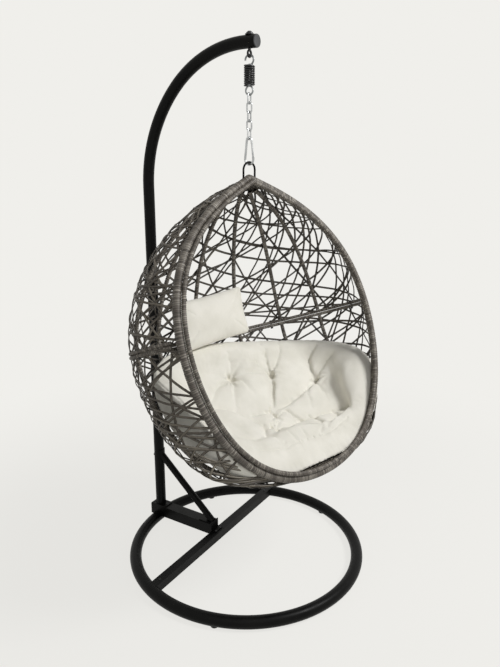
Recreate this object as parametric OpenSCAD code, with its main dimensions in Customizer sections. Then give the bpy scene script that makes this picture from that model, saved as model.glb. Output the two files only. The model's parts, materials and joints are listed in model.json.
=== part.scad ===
// Hanging egg chair: round-tube stand, spring and chain, wicker egg basket in two
// bolted halves, tufted seat cushion and head pillow.
// Millimetres, +Z up. Origin on the floor at the centre of the base ring.
// The post stands at +Y. The basket opens towards -Y, turned by basket_turn.

/* [Base] */
// Outer diameter of the base ring
ring_od = 950; // [860:5:1040]
// Diameter of the base ring's tube
ring_tube = 46; // [42:1:50]
// Wall of the ring, post, arm and brace tubes
tube_wall = 1.6; // [1.2:0.1:2.2]
// How far the plastic glides hold the ring off the floor
glide_lift = 2; // [1.5:0.5:4]
// Diameter of a glide
glide_d = 28; // [22:1:34]
// Distance of the crossbar behind the ring's centre
crossbar_y = 142; // [110:2:180]
// Side of the square crossbar
crossbar_side = 34; // [30:1:38]
// Width of the box-section spur that carries the post
spur_w = 50; // [47:1:60]
// Height of the spur
spur_h = 48; // [42:1:56]
// Underside of the spur above the floor
spur_z = 30; // [27:1:34]
// How far the spur runs out past the post's axis
spur_tail = 34; // [31:1:44]
// Wall of the spur and the crossbar
box_wall = 2; // [1.5:0.1:3]

/* [Post and arm] */
// Diameter of the post and the curved arm
post_d = 43; // [40:1:45]
// Height of the slip joint between the post and the arm
joint_z = 1000; // [900:10:1100]
// Length of the necked end of the post inside the arm
neck_l = 80; // [60:5:110]
// Height at which the arm starts to curve
bend_z = 1463; // [1400:5:1500]
// Centreline radius of the first half of the bend
bend_r1 = 505; // [480:5:530]
// Centreline radius of the second half of the bend
bend_r2 = 420; // [400:5:440]
// Distance of the hook line in front of the ring's centre
hook_y = -9; // [-24:1:6]
// How far the arm runs on past the hook line
arm_nose = 28; // [22:1:40]
// Diameter of the diagonal brace
brace_d = 28; // [25:1:31]
// Height at which the brace's axis meets the front of the post
brace_top_z = 314; // [290:2:350]
// Distance of the brace's foot from the crossbar's axis
brace_foot = 30; // [28:1:50]

/* [Eye bolt, spring and chain] */
// Shank diameter of the eye bolt
eye_shank_d = 10; // [8:0.5:12]
// Wire diameter of the eye
eye_wire = 7.5; // [6.5:0.5:8.5]
// Inner diameter of the eye
eye_hole = 13; // [12:0.5:14]
// Wire diameter of the spring
spring_wire = 6.4; // [5.6:0.2:6.8]
// Outer diameter of the spring
spring_od = 38; // [36:1:42]
// Number of curls
spring_turns = 9.5; // [7:0.5:11]
// Clear gap between curls at rest
spring_gap = 0.5; // [0.45:0.05:0.8]
// Wire diameter of the spring's two end hooks
hook_wire = 6; // [5:0.5:6.5]
// Wire diameter of a chain link
link_wire = 5.6; // [5:0.2:6]
// Outer length of a chain link
link_l = 40.4; // [38:0.2:44]
// Outer width of a chain link
link_w = 24; // [23:0.5:26]
// Wire diameter of the snap hook
clip_wire = 8; // [7:0.5:8.5]
// Outer length of the snap hook
clip_l = 98; // [90:1:110]
// Outer width of the snap hook at its wide end
clip_w = 41; // [38:1:46]
// Outer width of the snap hook at its narrow end
clip_top_w = 27; // [26:0.5:30]
// Rod diameter of the basket's hanging loop
loop_rod = 7; // [6:0.5:8]
// Outer width of the hanging loop
loop_w = 60; // [54:1:70]
// Clear gap between parts that hang on each other
hang_gap = 0.25; // [0.2:0.05:0.4]

/* [Basket] */
// Drop from the snap hook's lower end to the peak of the hoop
peak_drop = 43; // [36:1:50]
// Lean of the opening, from upright
basket_lean = 21.5; // [19:0.5:24]
// Turn of the basket on its chain at rest
basket_turn = -16; // [-20:1:0]
// Half width of the hoop
hoop_hw = 448; // [420:2:470]
// Length of the hoop from its peak to its lowest point
hoop_len = 1056; // [1020:2:1080]
// Distance of the hoop's widest place from its peak
hoop_wide_at = 545; // [520:5:570]
// Half angle of the hoop's peak
peak_half = 63; // [58:1:67]
// Straightness of the hoop just below the peak
peak_lead = 112; // [95:1:130]
// Fullness of the hoop above its widest place
hoop_full_up = 385; // [350:5:400]
// Fullness of the hoop below its widest place
hoop_full_dn = 236; // [210:2:260]
// Half width of the hoop's flat foot
hoop_foot = 328; // [300:2:350]
// Depth of the basket behind the hoop
basket_depth = 418; // [390:2:440]
// Distance of the deepest place from the peak
deep_at = 543; // [520:1:570]
// Angle at which the back leaves the peak
back_half = 98.5; // [92:0.5:102]
// Straightness of the back just behind the peak
back_lead = 190; // [170:2:210]
// Fullness of the back above its deepest place
back_full_up = 198; // [180:2:220]
// Fullness of the back below its deepest place
back_full_dn = 265; // [240:5:290]
// Bulge of the sides past the hoop at mid height
bulge_mid = 32; // [26:1:38]
// Bulge of the sides past the hoop at both ends
bulge_end = 50; // [42:1:56]
// Distance of the seam between the halves from the peak
seam_at = 508; // [480:2:540]
// Diameter of the wicker-wrapped hoop
wrap_d = 28; // [26:1:32]
// Diameter of the steel tube inside the wrap
frame_d = 19; // [17:1:20]
// Wall of the steel tube inside the wrap
frame_wall = 1.4; // [1.2:0.1:1.8]
// Diameter of the trim that runs inside the hoop's front edge
trim_d = 16; // [13:1:18]
// Diameter of a wrapped rib
rib_d = 16; // [13:0.5:18]
// Number of ribs
rib_n = 6; // [4:1:7]
// Spacing of the ribs, as a part of the way round the back
rib_step = 0.105; // [0.09:0.005:0.115]
// Diameter of each of the two seam bars
bar_d = 13; // [11:0.5:15]
// Thickness of the woven wall
weave_t = 5; // [4:0.5:7]
// Radius of the closely plaited cap at the peak
peak_cap_r = 78; // [70:1:88]
// Radius of the closely plaited patch at the lowest point
foot_cap_r = 120; // [105:1:135]
// Thickness of the plaited cap and patch
cap_t = 17; // [14:1:20]
// Diameter of the bolts that join the halves
seam_bolt_d = 6; // [5:0.5:7]

/* [Cushions] */
// Thickness of the seat cushion at its fullest
seat_t = 100; // [85:1:120]
// How far the cushion's rim swells forward
lip_out = 50; // [20:2:60]
// Depth of a sewn tuft
tuft_depth = 48; // [25:1:55]
// Spread of the hollow round a tuft
tuft_spread = 62; // [45:1:80]
// Length of the head pillow
pillow_l = 360; // [320:5:400]
// Height of the head pillow
pillow_h = 180; // [160:5:200]
// Thickness of the head pillow
pillow_t = 88; // [70:2:100]
// How far the pillow's foot stands out from the basket's back
pillow_lean = 34; // [20:2:50]
// Distance of the pillow's middle to the side of the basket's middle
pillow_x = -84; // [-140:2:-60]
// Distance of the pillow's middle from the peak
pillow_at = 444; // [436:1:470]

/* [Hidden] */
fit = 0.3;               // gap between parts that stay still
ease = 0.15;             // half gap at a butt seam
far = 2000;

// ---- stand, derived ----
ring_r = (ring_od - ring_tube)/2;
ring_z = glide_lift + ring_tube/2;
post_y = ring_r;
bar_z = ring_z - crossbar_side/2 + 5;
bar_top = bar_z + crossbar_side;
bar_half = sqrt(ring_r*ring_r - crossbar_y*crossbar_y);
seam_a = asin(crossbar_y/ring_r);
sleeve_d = ring_tube - 2*tube_wall - 2*fit;
sleeve_half_a = 3.2;
spur_front = crossbar_y + crossbar_side/2 + fit;
spur_top = spur_z + spur_h;
plate_t = 4;
bracket_t = 3.5;
bracket_tab = 26;
post_bottom = spur_top + plate_t + 2*ease;
post_r = post_d/2;
neck_r = post_r - tube_wall - fit;
b_h = bend_r1*(1 - cos(45)) + bend_r2*sin(45);
b_v = bend_r1*sin(45) + bend_r2*(1 - cos(45));
arm_z = bend_z + b_v;
arm_bend_y = post_y - b_h;
arm_tip_y = hook_y - arm_nose;
foot_y = crossbar_y + brace_foot;
foot_z = spur_top + plate_t;
brace_top_y = post_y - post_r;
brace_a = atan2(brace_top_z - foot_z, brace_top_y - foot_y);
brace_l = norm([brace_top_y - foot_y, brace_top_z - foot_z]);
saddle_t = 3;
saddle_h = 64;
m6 = 6;
m8 = 8;

// ---- hanging line, derived: each part rests on the one above ----
eye_r = (eye_hole + eye_wire)/2;
eye_z = arm_z - post_r - 1.5 - eye_r - eye_wire/2;
hook_r = (spring_od - hook_wire)/2;
hook_top_z = eye_z - eye_hole/2 + hang_gap + hook_wire/2;
top_hook_z = hook_top_z - hook_r;
coil_top = top_hook_z - hook_r + 4;
coil_pitch = spring_wire + spring_gap;
coil_l = spring_turns*coil_pitch;
coil_bottom = coil_top - coil_l - spring_wire;
low_hook_z = coil_bottom + 6 - hook_r;
link_end_r = (link_w - link_wire)/2;
link_pitch = link_l - 2*link_wire - hang_gap;
link_z1 = low_hook_z - hook_r + hook_wire/2 + hang_gap + link_wire - link_l/2;
clip_top_r = (clip_top_w - clip_wire)/2;
clip_r = (clip_w - clip_wire)/2;
clip_top_z = link_z1 - 4*link_pitch - link_l/2 + link_wire + hang_gap + clip_wire;
clip_a_z = clip_top_z - clip_wire/2 - clip_top_r;
clip_b_z = clip_top_z - clip_l + clip_wire/2 + clip_r;
clip_lean = asin((clip_r - clip_top_r)/(clip_a_z - clip_b_z));
clip_rest_z = clip_top_z - clip_l + clip_wire;
loop_r = (loop_w - loop_rod)/2;
loop_top_z = clip_rest_z + hang_gap + loop_rod/2;
loop_c_z = loop_top_z - loop_r;
peak_z = clip_top_z - clip_l - peak_drop;

// ---- basket form: u runs 0 at the peak to 1 at the foot, v from side to side ----
function bez(a, b, c, d, t) = a*pow(1 - t, 3) + 3*b*pow(1 - t, 2)*t + 3*c*(1 - t)*t*t + d*pow(t, 3);
function hoop_w(u) = u <= 0.5
    ? bez(0, peak_lead*sin(peak_half), hoop_hw, hoop_hw, 2*u)
    : bez(hoop_hw, hoop_hw, hoop_foot, 0, 2*u - 1);
function hoop_s(u) = u <= 0.5
    ? bez(0, peak_lead*cos(peak_half), hoop_wide_at - hoop_full_up, hoop_wide_at, 2*u)
    : bez(hoop_wide_at, hoop_wide_at + hoop_full_dn, hoop_len, hoop_len, 2*u - 1);
function back_d(u) = u <= 0.5
    ? bez(0, back_lead*sin(back_half), basket_depth, basket_depth, 2*u)
    : bez(basket_depth, basket_depth, 17, 0, 2*u - 1);
function back_s(u) = u <= 0.5
    ? bez(0, back_lead*cos(back_half), deep_at - back_full_up, deep_at, 2*u)
    : bez(deep_at, deep_at + back_full_dn, hoop_len, hoop_len, 2*u - 1);
function bulge(u) = bulge_mid + (bulge_end - bulge_mid)*pow(cos(180*u), 2);
function egg(u, v) = let (
    d = bulge(u), a = -d + v*(180 + 2*d),
    c = cos(a)/cos(d), s = (sin(a) + sin(d))/(1 + sin(d)))
    [hoop_w(u)*c, back_d(u)*s, -(hoop_s(u)*(1 - s) + back_s(u)*s)];
mid = [0, basket_depth*0.45, -hoop_len*0.55];
function inward(p, t) = p + (mid - p)*t/norm(mid - p);
function find_u(v, s, lo = 0.12, hi = 0.92, k = 16) = let (m = (lo + hi)/2)
    k == 0 ? m : -egg(m, v)[2] < s ? find_u(v, s, m, hi, k - 1) : find_u(v, s, lo, m, k - 1);
seam_u = find_u(0, seam_at);

function unit(a) = a/norm(a);
function tangent(p, i) = unit(p[min(i + 1, len(p) - 1)] - p[max(i - 1, 0)]);
function ring(p, t, r, n) = let (a = unit((mid - p) - ((mid - p)*t)*t), b = cross(t, a))
    [for (k = [0:n - 1]) p + r*(cos(360*k/n)*a + sin(360*k/n)*b)];

// Tube of radius r and n sides along the points p
module sweep(p, r, n) {
    m = len(p);
    polyhedron(
        points = [for (i = [0:m - 1]) each ring(p[i], tangent(p, i), r, n)],
        faces = [
            for (i = [0:m - 2], k = [0:n - 1]) let (a = i*n + k, b = i*n + (k + 1)%n) [a, b + n, b],
            for (i = [0:m - 2], k = [0:n - 1]) let (a = i*n + k, b = i*n + (k + 1)%n) [a, a + n, b + n],
            for (k = [1:n - 2]) [0, k, k + 1],
            for (k = [1:n - 2]) let (o = (m - 1)*n) [o, o + k + 1, o + k]]);
}

// Solid egg whose skin lies t inside the basket's outer face, closed across the opening
egg_nu = 22;
egg_nv = 22;
module egg_solid(t) {
    m = egg_nv + 1;
    last = 1 + (egg_nu - 1)*m;
    polyhedron(
        points = [inward(egg(0, 0), t),
            for (i = [1:egg_nu - 1], j = [0:egg_nv]) inward(egg(i/egg_nu, j/egg_nv), t),
            inward(egg(1, 0), t)],
        faces = [
            for (j = [0:egg_nv - 1]) [0, 2 + j, 1 + j],
            [0, 1, 1 + egg_nv],
            for (i = [0:egg_nu - 3], j = [0:egg_nv - 1]) let (a = 1 + i*m + j) [a, a + m + 1, a + m],
            for (i = [0:egg_nu - 3], j = [0:egg_nv - 1]) let (a = 1 + i*m + j) [a, a + 1, a + m + 1],
            for (i = [0:egg_nu - 3]) let (a = 1 + i*m, b = a + egg_nv) [b, a + m, b + m],
            for (i = [0:egg_nu - 3]) let (a = 1 + i*m, b = a + egg_nv) [b, a, a + m],
            for (j = [0:egg_nv - 1]) let (a = 1 + (egg_nu - 2)*m + j) [a, a + 1, last],
            [last - m, last, last - 1]]);
}

// Stands the basket's own frame in its place: peak on the hook line, leant and turned
module in_place() translate([0, hook_y, peak_z]) rotate([0, 0, basket_turn]) rotate([-basket_lean, 0, 0]) children();
module above_seam(z = ease) translate([-far/2, -far/2, -seam_at + z]) cube([far, far, far]);
module below_seam(z = ease) translate([-far/2, -far/2, -seam_at - z - far]) cube([far, far, far]);
module behind_hoop(d) translate([-far/2, d, -far*0.75]) cube([far, far, far]);

// ---- stand ----
module ring_arc(r, wall, a0, a) translate([0, 0, ring_z]) rotate([0, 0, a0])
    rotate_extrude(angle = a, $fn = 180) translate([ring_r, 0]) difference() {
        circle(r, $fn = 64);
        if (wall > 0) circle(r - wall, $fn = 64);
    }
module ring_room() translate([0, 0, ring_z]) rotate_extrude($fn = 180) translate([ring_r, 0]) circle(ring_tube/2 + fit, $fn = 64);
slit = atan(ease/ring_r);
module base_ring_front() color("#1b1b1c") ring_arc(ring_tube/2, tube_wall, 180 - seam_a + slit, 180 + 2*seam_a - 2*slit);
module base_ring_rear() color("#1b1b1c") ring_arc(ring_tube/2, tube_wall, seam_a + slit, 180 - 2*seam_a - 2*slit);
module ring_sleeves() color("#55585a") {
    ring_arc(sleeve_d/2, 2, seam_a - sleeve_half_a, 2*sleeve_half_a);
    ring_arc(sleeve_d/2, 2, 180 - seam_a - sleeve_half_a, 2*sleeve_half_a);
}
module glides() color("#111111") for (a = [-90, -18, 54, 126, 198]) difference() {
    rotate([0, 0, a]) translate([ring_r, 0, 0]) cylinder(d = glide_d, h = glide_lift + 6, $fn = 48);
    translate([0, 0, ring_z]) rotate_extrude($fn = 180) translate([ring_r, 0]) circle(ring_tube/2 + 0.1, $fn = 64);
}
module crossbar() color("#1b1b1c") difference() {
    translate([-bar_half, crossbar_y - crossbar_side/2, bar_z]) cube([2*bar_half, crossbar_side, crossbar_side]);
    translate([-bar_half - 1, crossbar_y - crossbar_side/2 + box_wall, bar_z + box_wall])
        cube([2*bar_half + 2, crossbar_side - 2*box_wall, crossbar_side - 2*box_wall]);
    ring_room();
    for (s = [-1, 1]) translate([s*(bar_half - plug_in), crossbar_y, bar_z + crossbar_side/2])
        cylinder(d = m6 + 0.4, h = crossbar_side, $fn = 32);
    translate([0, crossbar_y, bar_z + crossbar_side/2]) for (s = [-1, 1]) translate([s*bracket_bolt_x, 0, 0])
        cylinder(d = m6 + 0.4, h = crossbar_side, $fn = 32);
}
plug_in = ring_tube/2 + 22;
plug_l = 44;
module crossbar_plugs() color("#55585a") for (s = [-1, 1]) difference() {
    translate([s*(bar_half - plug_in) - plug_l/2, crossbar_y - crossbar_side/2 + box_wall + fit, bar_z + box_wall + fit])
        cube([plug_l, crossbar_side - 2*box_wall - 2*fit, crossbar_side - 2*box_wall - 2*fit]);
    ring_room();
    translate([s*(bar_half - plug_in), crossbar_y, bar_z + box_wall]) cylinder(d = m6 + 0.2, h = crossbar_side, $fn = 32);
}
// Button-head bolt pointing down, its head's underside at z = 0
module button_bolt(d, l) {
    translate([0, 0, -l]) cylinder(d = d, h = l, $fn = 32);
    difference() {
        cylinder(d1 = 1.9*d, d2 = 1.2*d, h = 0.55*d, $fn = 32);
        translate([0, 0, 0.3*d]) cylinder(d = 0.6*d, h = d, $fn = 6);
    }
}
module hex_nut(d, h) difference() {
    cylinder(d = 1.85*d, h = h, $fn = 6);
    translate([0, 0, -1]) cylinder(d = d + 0.1, h = h + 2, $fn = 32);
}
module crossbar_bolts() color("#2a2a2b") for (s = [-1, 1])
    translate([s*(bar_half - plug_in), crossbar_y, bar_top + 0.05]) button_bolt(m6, 22);
module spur() color("#1b1b1c") difference() {
    translate([-spur_w/2, spur_front + bracket_t, spur_z]) cube([spur_w, post_y + spur_tail - spur_front - bracket_t, spur_h]);
    translate([-spur_w/2 + box_wall, spur_front, spur_z + box_wall])
        cube([spur_w - 2*box_wall, post_y + spur_tail - spur_front + 1, spur_h - 2*box_wall]);
    ring_room();
    for (y = foot_bolt_y) translate([0, y, spur_z + spur_h/2]) cylinder(d = m6 + 0.4, h = spur_h, $fn = 32);
}
module spur_tail_cap() color("#111111") difference() {
    union() {
        translate([-spur_w/2, post_y + spur_tail + 0.05, spur_z]) cube([spur_w, 3, spur_h]);
        translate([-spur_w/2 + box_wall + fit, post_y + spur_tail - 8, spur_z + box_wall + fit])
            cube([spur_w - 2*box_wall - 2*fit, 9, spur_h - 2*box_wall - 2*fit]);
    }
    ring_room();
    for (y = foot_bolt_y) translate([0, y, spur_z + box_wall]) cylinder(d = m6 + 0.8, h = spur_h, $fn = 32);
}
bracket_bolt_x = 15;
module spur_bracket() color("#1b1b1c") difference() {
    union() {
        translate([-spur_w/2, spur_front - 0.05, bar_top + 0.1]) cube([spur_w, bracket_t, spur_top - bar_top + 7]);
        translate([-spur_w/2, spur_front + bracket_t - bracket_tab, bar_top + 0.1]) cube([spur_w, bracket_tab, bracket_t]);
    }
    for (s = [-1, 1]) translate([s*bracket_bolt_x, crossbar_y, bar_top - 1]) cylinder(d = m6 + 0.4, h = bracket_t + 3, $fn = 32);
}
module spur_bracket_bolts() color("#2a2a2b") for (s = [-1, 1]) translate([s*bracket_bolt_x, crossbar_y, bar_top + bracket_t + 0.15]) {
    button_bolt(m6, bracket_t + box_wall + 8);
    translate([0, 0, -bracket_t - box_wall - 6]) hex_nut(m6, 4.5);
}
foot_bolt_y = [post_y - post_r + 13 - 26, post_y + post_r + 5.5];
foot_plate_y0 = post_y - post_r - 22;
module post_foot_plate() color("#1b1b1c") difference() {
    translate([-spur_w/2, foot_plate_y0, spur_top + ease]) cube([spur_w, post_y + spur_tail - foot_plate_y0, plate_t]);
    for (y = foot_bolt_y) translate([0, y, spur_top - 1]) cylinder(d = m6 + 0.4, h = plate_t + 3, $fn = 32);
}
module post_foot_bolts() color("#2a2a2b") for (y = foot_bolt_y) translate([0, y, spur_top + plate_t + ease + 0.05]) button_bolt(m6, plate_t + box_wall + 8);
module post() color("#1b1b1c") difference() {
    union() {
        translate([0, post_y, post_bottom]) cylinder(d = post_d, h = joint_z - ease - post_bottom, $fn = 96);
        translate([0, post_y, joint_z - 1]) cylinder(r = neck_r, h = neck_l, $fn = 96);
    }
    translate([0, post_y, post_bottom - 1]) cylinder(r = neck_r - tube_wall, h = joint_z + neck_l, $fn = 96);
    translate([0, post_y, joint_z + neck_l/2]) rotate([0, 90, 0]) translate([0, 0, -post_d]) cylinder(d = m8 + 0.4, h = 2*post_d, $fn = 32);
    translate([0, post_y - post_d, brace_top_z - 2]) rotate([-90, 0, 0]) cylinder(d = m8 + 0.4, h = 2*post_d, $fn = 32);
}
nip = 0.06;              // every other length of a bent bar is this much slimmer, so its end sits inside the next
bore_nip = 0.5;          // the same step inside the arm's bore, where nobody sees it
dip_a = 0.05;
// Bent path of the arm, radius r, its two ends run out by "out"
module arm_path(r, out, nip = nip) {
    translate([0, post_y, joint_z + ease - out]) cylinder(r = r, h = bend_z - joint_z - ease + out, $fn = 96);
    translate([0, post_y - bend_r1, bend_z]) rotate([90, 0, 90]) rotate([0, 0, -dip_a]) rotate_extrude(angle = 45 + 2*dip_a, $fn = 180)
        translate([bend_r1, 0]) rotate(7) circle(r - nip, $fn = 96);
    translate([0, arm_bend_y, arm_z - bend_r2]) rotate([90, 0, 90]) rotate([0, 0, 45]) rotate_extrude(angle = 45, $fn = 180)
        translate([bend_r2, 0]) circle(r, $fn = 96);
    translate([0, arm_bend_y + 0.4, arm_z]) rotate([90, 0, 0]) cylinder(r = r - nip, h = arm_bend_y + 0.4 - arm_tip_y + out, $fn = 96);
}
module arm() color("#1b1b1c") difference() {
    arm_path(post_r, 0);
    arm_path(post_r - tube_wall, 2, bore_nip);
    translate([0, hook_y, arm_z - post_d]) cylinder(d = eye_shank_d + 0.4, h = 2*post_d, $fn = 48);
    translate([0, post_y, joint_z + neck_l/2]) rotate([0, 90, 0]) translate([0, 0, -post_d]) cylinder(d = m8 + 0.4, h = 2*post_d, $fn = 32);
}
module slip_joint_bolt() color("#2a2a2b") translate([0, post_y, joint_z + neck_l/2]) rotate([0, 90, 0]) {
    translate([0, 0, post_r + 0.1]) button_bolt(m8, post_d + 9);
    translate([0, 0, -post_r - 6.6]) hex_nut(m8, 6.5);
}
module post_room(r) translate([0, post_y, 0]) cylinder(r = r, h = joint_z, $fn = 96);
module brace() color("#1b1b1c") difference() {
    translate([0, foot_y, foot_z]) rotate([-(90 - brace_a), 0, 0]) translate([0, 0, -30]) difference() {
        cylinder(d = brace_d, h = brace_l + 45, $fn = 64);
        translate([0, 0, -1]) cylinder(d = brace_d - 2*tube_wall, h = brace_l + 47, $fn = 64);
    }
    post_room(post_r + saddle_t + fit);
    translate([-50, foot_y - 100, foot_z + 0.2 - 100]) cube([100, 200, 100]);
    translate([-50, spur_front - 100, 0]) cube([100, 100 + bracket_t + fit, joint_z]);
    translate([-50, post_y, 0]) cube([100, 100, joint_z]);
}
module brace_saddle() color("#1b1b1c") difference() {
    translate([0, post_y, brace_top_z - saddle_h/2]) rotate([0, 0, 215]) rotate_extrude(angle = 110, $fn = 96)
        translate([post_r + 0.15, 0]) square([saddle_t, saddle_h]);
    translate([0, post_y, brace_top_z - 2]) rotate([90, 0, 0]) cylinder(d = m8 + 0.4, h = post_d, $fn = 32);
}
module brace_bolt() color("#2a2a2b") translate([0, post_y, brace_top_z - 2]) {
    rotate([-90, 0, 0]) translate([0, 0, post_r + 0.1]) {
        cylinder(d = 15, h = 5, $fn = 6);
        translate([0, 0, -post_d - saddle_t - 8]) cylinder(d = m8, h = post_d + saddle_t + 8.5, $fn = 32);
    }
    rotate([90, 0, 0]) translate([0, 0, post_r + saddle_t + 0.3]) difference() {
        cylinder(d = 14.5, h = 6, $fn = 6);
        translate([0, 0, -1]) cylinder(d = m8 + 0.1, h = 9, $fn = 32);
    }
}
module brace_foot_plate() color("#1b1b1c") translate([-spur_w/2 + 3, spur_front + bracket_t + 1, spur_top + ease])
    cube([spur_w - 6, 62, plate_t - ease]);
module arm_end_cap() color("#3a3b3d") translate([0, arm_tip_y, arm_z]) rotate([90, 0, 0]) {
    translate([0, 0, 0.05]) cylinder(d1 = post_d, d2 = post_d - 2, h = 3, $fn = 96);
    translate([0, 0, -8]) cylinder(r = post_r - tube_wall - bore_nip - fit, h = 8.5, $fn = 96);
}

// ---- eye bolt, spring, chain ----
module eye_bolt() color("#2a2a2b") translate([0, hook_y, eye_z]) {
    rotate([90, 0, 0]) rotate_extrude($fn = 96) translate([eye_r, 0]) circle(d = eye_wire, $fn = 48);
    translate([0, 0, eye_r]) cylinder(d = eye_shank_d, h = arm_z + post_r + 9 - eye_z - eye_r, $fn = 48);
}
module eye_bolt_nut() color("#2a2a2b") translate([0, hook_y, arm_z + post_r + 0.1]) difference() {
    union() {
        cylinder(d = 30, h = 2, $fn = 64);
        translate([0, 0, 2]) cylinder(d1 = 24, d2 = 22, h = 4, $fn = 64);
        translate([0, 0, 6]) cylinder(d1 = 22, d2 = 11, h = 4.5, $fn = 64);
    }
    translate([0, 0, -1]) cylinder(d = eye_shank_d + 0.1, h = 10.5, $fn = 48);
}
plug_r = spring_od/2 - spring_wire - 0.8;
plug_h = 15;
module c_hook(z, from, sweep_a, r = hook_r) translate([0, hook_y, z]) rotate([90, 0, 90]) rotate([0, 0, from])
    rotate_extrude(angle = sweep_a, $fn = 96) translate([r, 0]) circle(d = hook_wire, $fn = 48);
module spring_top_hook() color("#8d9092") {
    c_hook(top_hook_z, -90 - 275, 275);
    translate([0, hook_y, coil_top - plug_h]) cylinder(r = plug_r, h = plug_h - 3, $fn = 48);
    translate([0, hook_y, coil_top - 4]) cylinder(d = hook_wire, h = 4, $fn = 48);
}
module spring_bottom_hook() color("#8d9092") {
    c_hook(low_hook_z - 2, 90, 335, hook_r - 2);
    translate([0, hook_y, coil_bottom + 3]) cylinder(r = plug_r, h = plug_h - 3, $fn = 48);
    translate([0, hook_y, coil_bottom]) cylinder(d = hook_wire, h = 4, $fn = 48);
}
coil_r = (spring_od - spring_wire)/2;
curl_n = 10;
coil_pts = [for (i = [0:ceil(spring_turns*curl_n)]) let (a = min(i/curl_n, spring_turns))
    [coil_r*cos(360*a + 90), coil_r*sin(360*a + 90), -a*coil_pitch]];
least_gap = min([for (i = [0:curl_n]) norm(coil_pts[i] - coil_pts[i + curl_n])]) - spring_wire;
echo(spring_least_gap = least_gap);
function coil_ring(i) = let (p = coil_pts[i], t = tangent(coil_pts, i), o = unit([p[0], p[1], 0]), a = unit(o - (o*t)*t), b = cross(t, a))
    [for (k = [0:5]) p + spring_wire/2*(cos(60*k)*a + sin(60*k)*b)];
module spring() color("#1d1d1e") translate([0, hook_y, coil_top - spring_wire/2]) {
    m = len(coil_pts);
    n = 6;
    polyhedron(points = [for (i = [0:m - 1]) each coil_ring(i)],
        faces = [
            for (i = [0:m - 2], k = [0:n - 1]) let (a = i*n + k, b = i*n + (k + 1)%n) [a, b + n, b],
            for (i = [0:m - 2], k = [0:n - 1]) let (a = i*n + k, b = i*n + (k + 1)%n) [a, a + n, b + n],
            for (k = [1:n - 2]) [0, k, k + 1],
            for (k = [1:n - 2]) let (o = (m - 1)*n) [o, o + k + 1, o + k]]);
}
// Chain link standing in the XZ plane, its middle at the origin
module link() {
    h = link_l/2 - link_wire/2 - link_end_r;
    for (s = [-1, 1]) translate([s*link_end_r, 0, -h]) cylinder(d = link_wire, h = 2*h, $fn = 40);
    translate([0, 0, h]) rotate([90, 0, 0]) rotate_extrude(angle = 180, $fn = 64) translate([link_end_r, 0]) circle(d = link_wire, $fn = 40);
    translate([0, 0, -h]) rotate([-90, 0, 0]) rotate_extrude(angle = 180, $fn = 64) translate([link_end_r, 0]) circle(d = link_wire, $fn = 40);
}
module link_at(i) color("#a8abad") translate([0, hook_y, link_z1 - (i - 1)*link_pitch]) rotate([0, 0, i%2 == 1 ? 0 : 90]) link();
module chain_link_1() link_at(1);
module chain_link_2() link_at(2);
module chain_link_3() link_at(3);
module chain_link_4() link_at(4);
module chain_link_5() link_at(5);

// Snap hook in the YZ plane; the gate closes its front side
side_l = (clip_a_z - clip_b_z)*cos(clip_lean);
gate_d = clip_wire - 1.5;
gate_top = 0.80*side_l;
gate_low = 0.10*side_l;
pin_d = 3;
module clip_side() translate([0, hook_y, clip_b_z]) rotate([-clip_lean, 0, 0]) translate([0, -clip_r, 0]) children();
module clip_back() translate([0, hook_y, clip_b_z]) rotate([clip_lean, 0, 0]) translate([0, clip_r, 0]) children();
// Centre of the narrow and of the wide bow, seen from the foot of the back bar
module clip_bow() clip_back() translate([0, -clip_top_r, side_l]) rotate([90, 0, 90]) children();
module clip_foot() clip_back() translate([0, -clip_r, 0]) rotate([90, 0, 90]) children();
module snap_hook() color("#a8abad") {
    difference() {
        clip_foot() rotate([0, 0, -181 - 2*clip_lean]) rotate_extrude(angle = 182 + 2*clip_lean, $fn = 64) translate([clip_r, 0]) circle(d = clip_wire - 2*nip, $fn = 40);
        clip_side() translate([-1.6, -clip_wire, gate_low - 7.5]) cube([3.2, 2*clip_wire, 9]);
    }
    clip_back() cylinder(d = clip_wire, h = side_l, $fn = 40);
    clip_bow() rotate([0, 0, -2]) rotate_extrude(angle = 184 - 2*clip_lean, $fn = 64) translate([clip_top_r, 0]) circle(d = clip_wire - 2*nip, $fn = 40);
    clip_bow() rotate([0, 0, 180 - 2*clip_lean]) translate([clip_top_r, 0, 0]) rotate([-90, 0, 0])
        cylinder(d = clip_wire, h = side_l - gate_top - 0.5, $fn = 40);
    clip_foot() rotate([0, 0, 180 - 2*clip_lean]) translate([clip_r, 0, 0]) rotate([90, 0, 0]) difference() {
        cylinder(d = clip_wire, h = gate_low, $fn = 40);
        translate([0, 0, gate_low - 4]) rotate([90, 0, 0]) cylinder(d = pin_d + 0.2, h = 2*clip_wire, center = true, $fn = 32);
        translate([-clip_wire, -1.6, gate_low - 7.5]) cube([2*clip_wire, 3.2, 9]);
    }
}
module snap_hook_gate() color("#b4b6b8") clip_side() difference() {
    union() {
        translate([0, 0, gate_low + 1.1]) cylinder(d = gate_d, h = gate_top - gate_low - 1.1, $fn = 40);
        translate([-1.4, -2.4, gate_low - 6.2]) cube([2.8, 4.8, 9]);
    }
    translate([0, 0, gate_low - 4]) rotate([0, 90, 0]) cylinder(d = pin_d + 0.2, h = 2*clip_wire, center = true, $fn = 32);
}
module snap_hook_pin() color("#a8abad") clip_side() translate([0, 0, gate_low - 4]) rotate([0, 90, 0])
    cylinder(d = pin_d, h = clip_wire + 1, center = true, $fn = 32);

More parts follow.
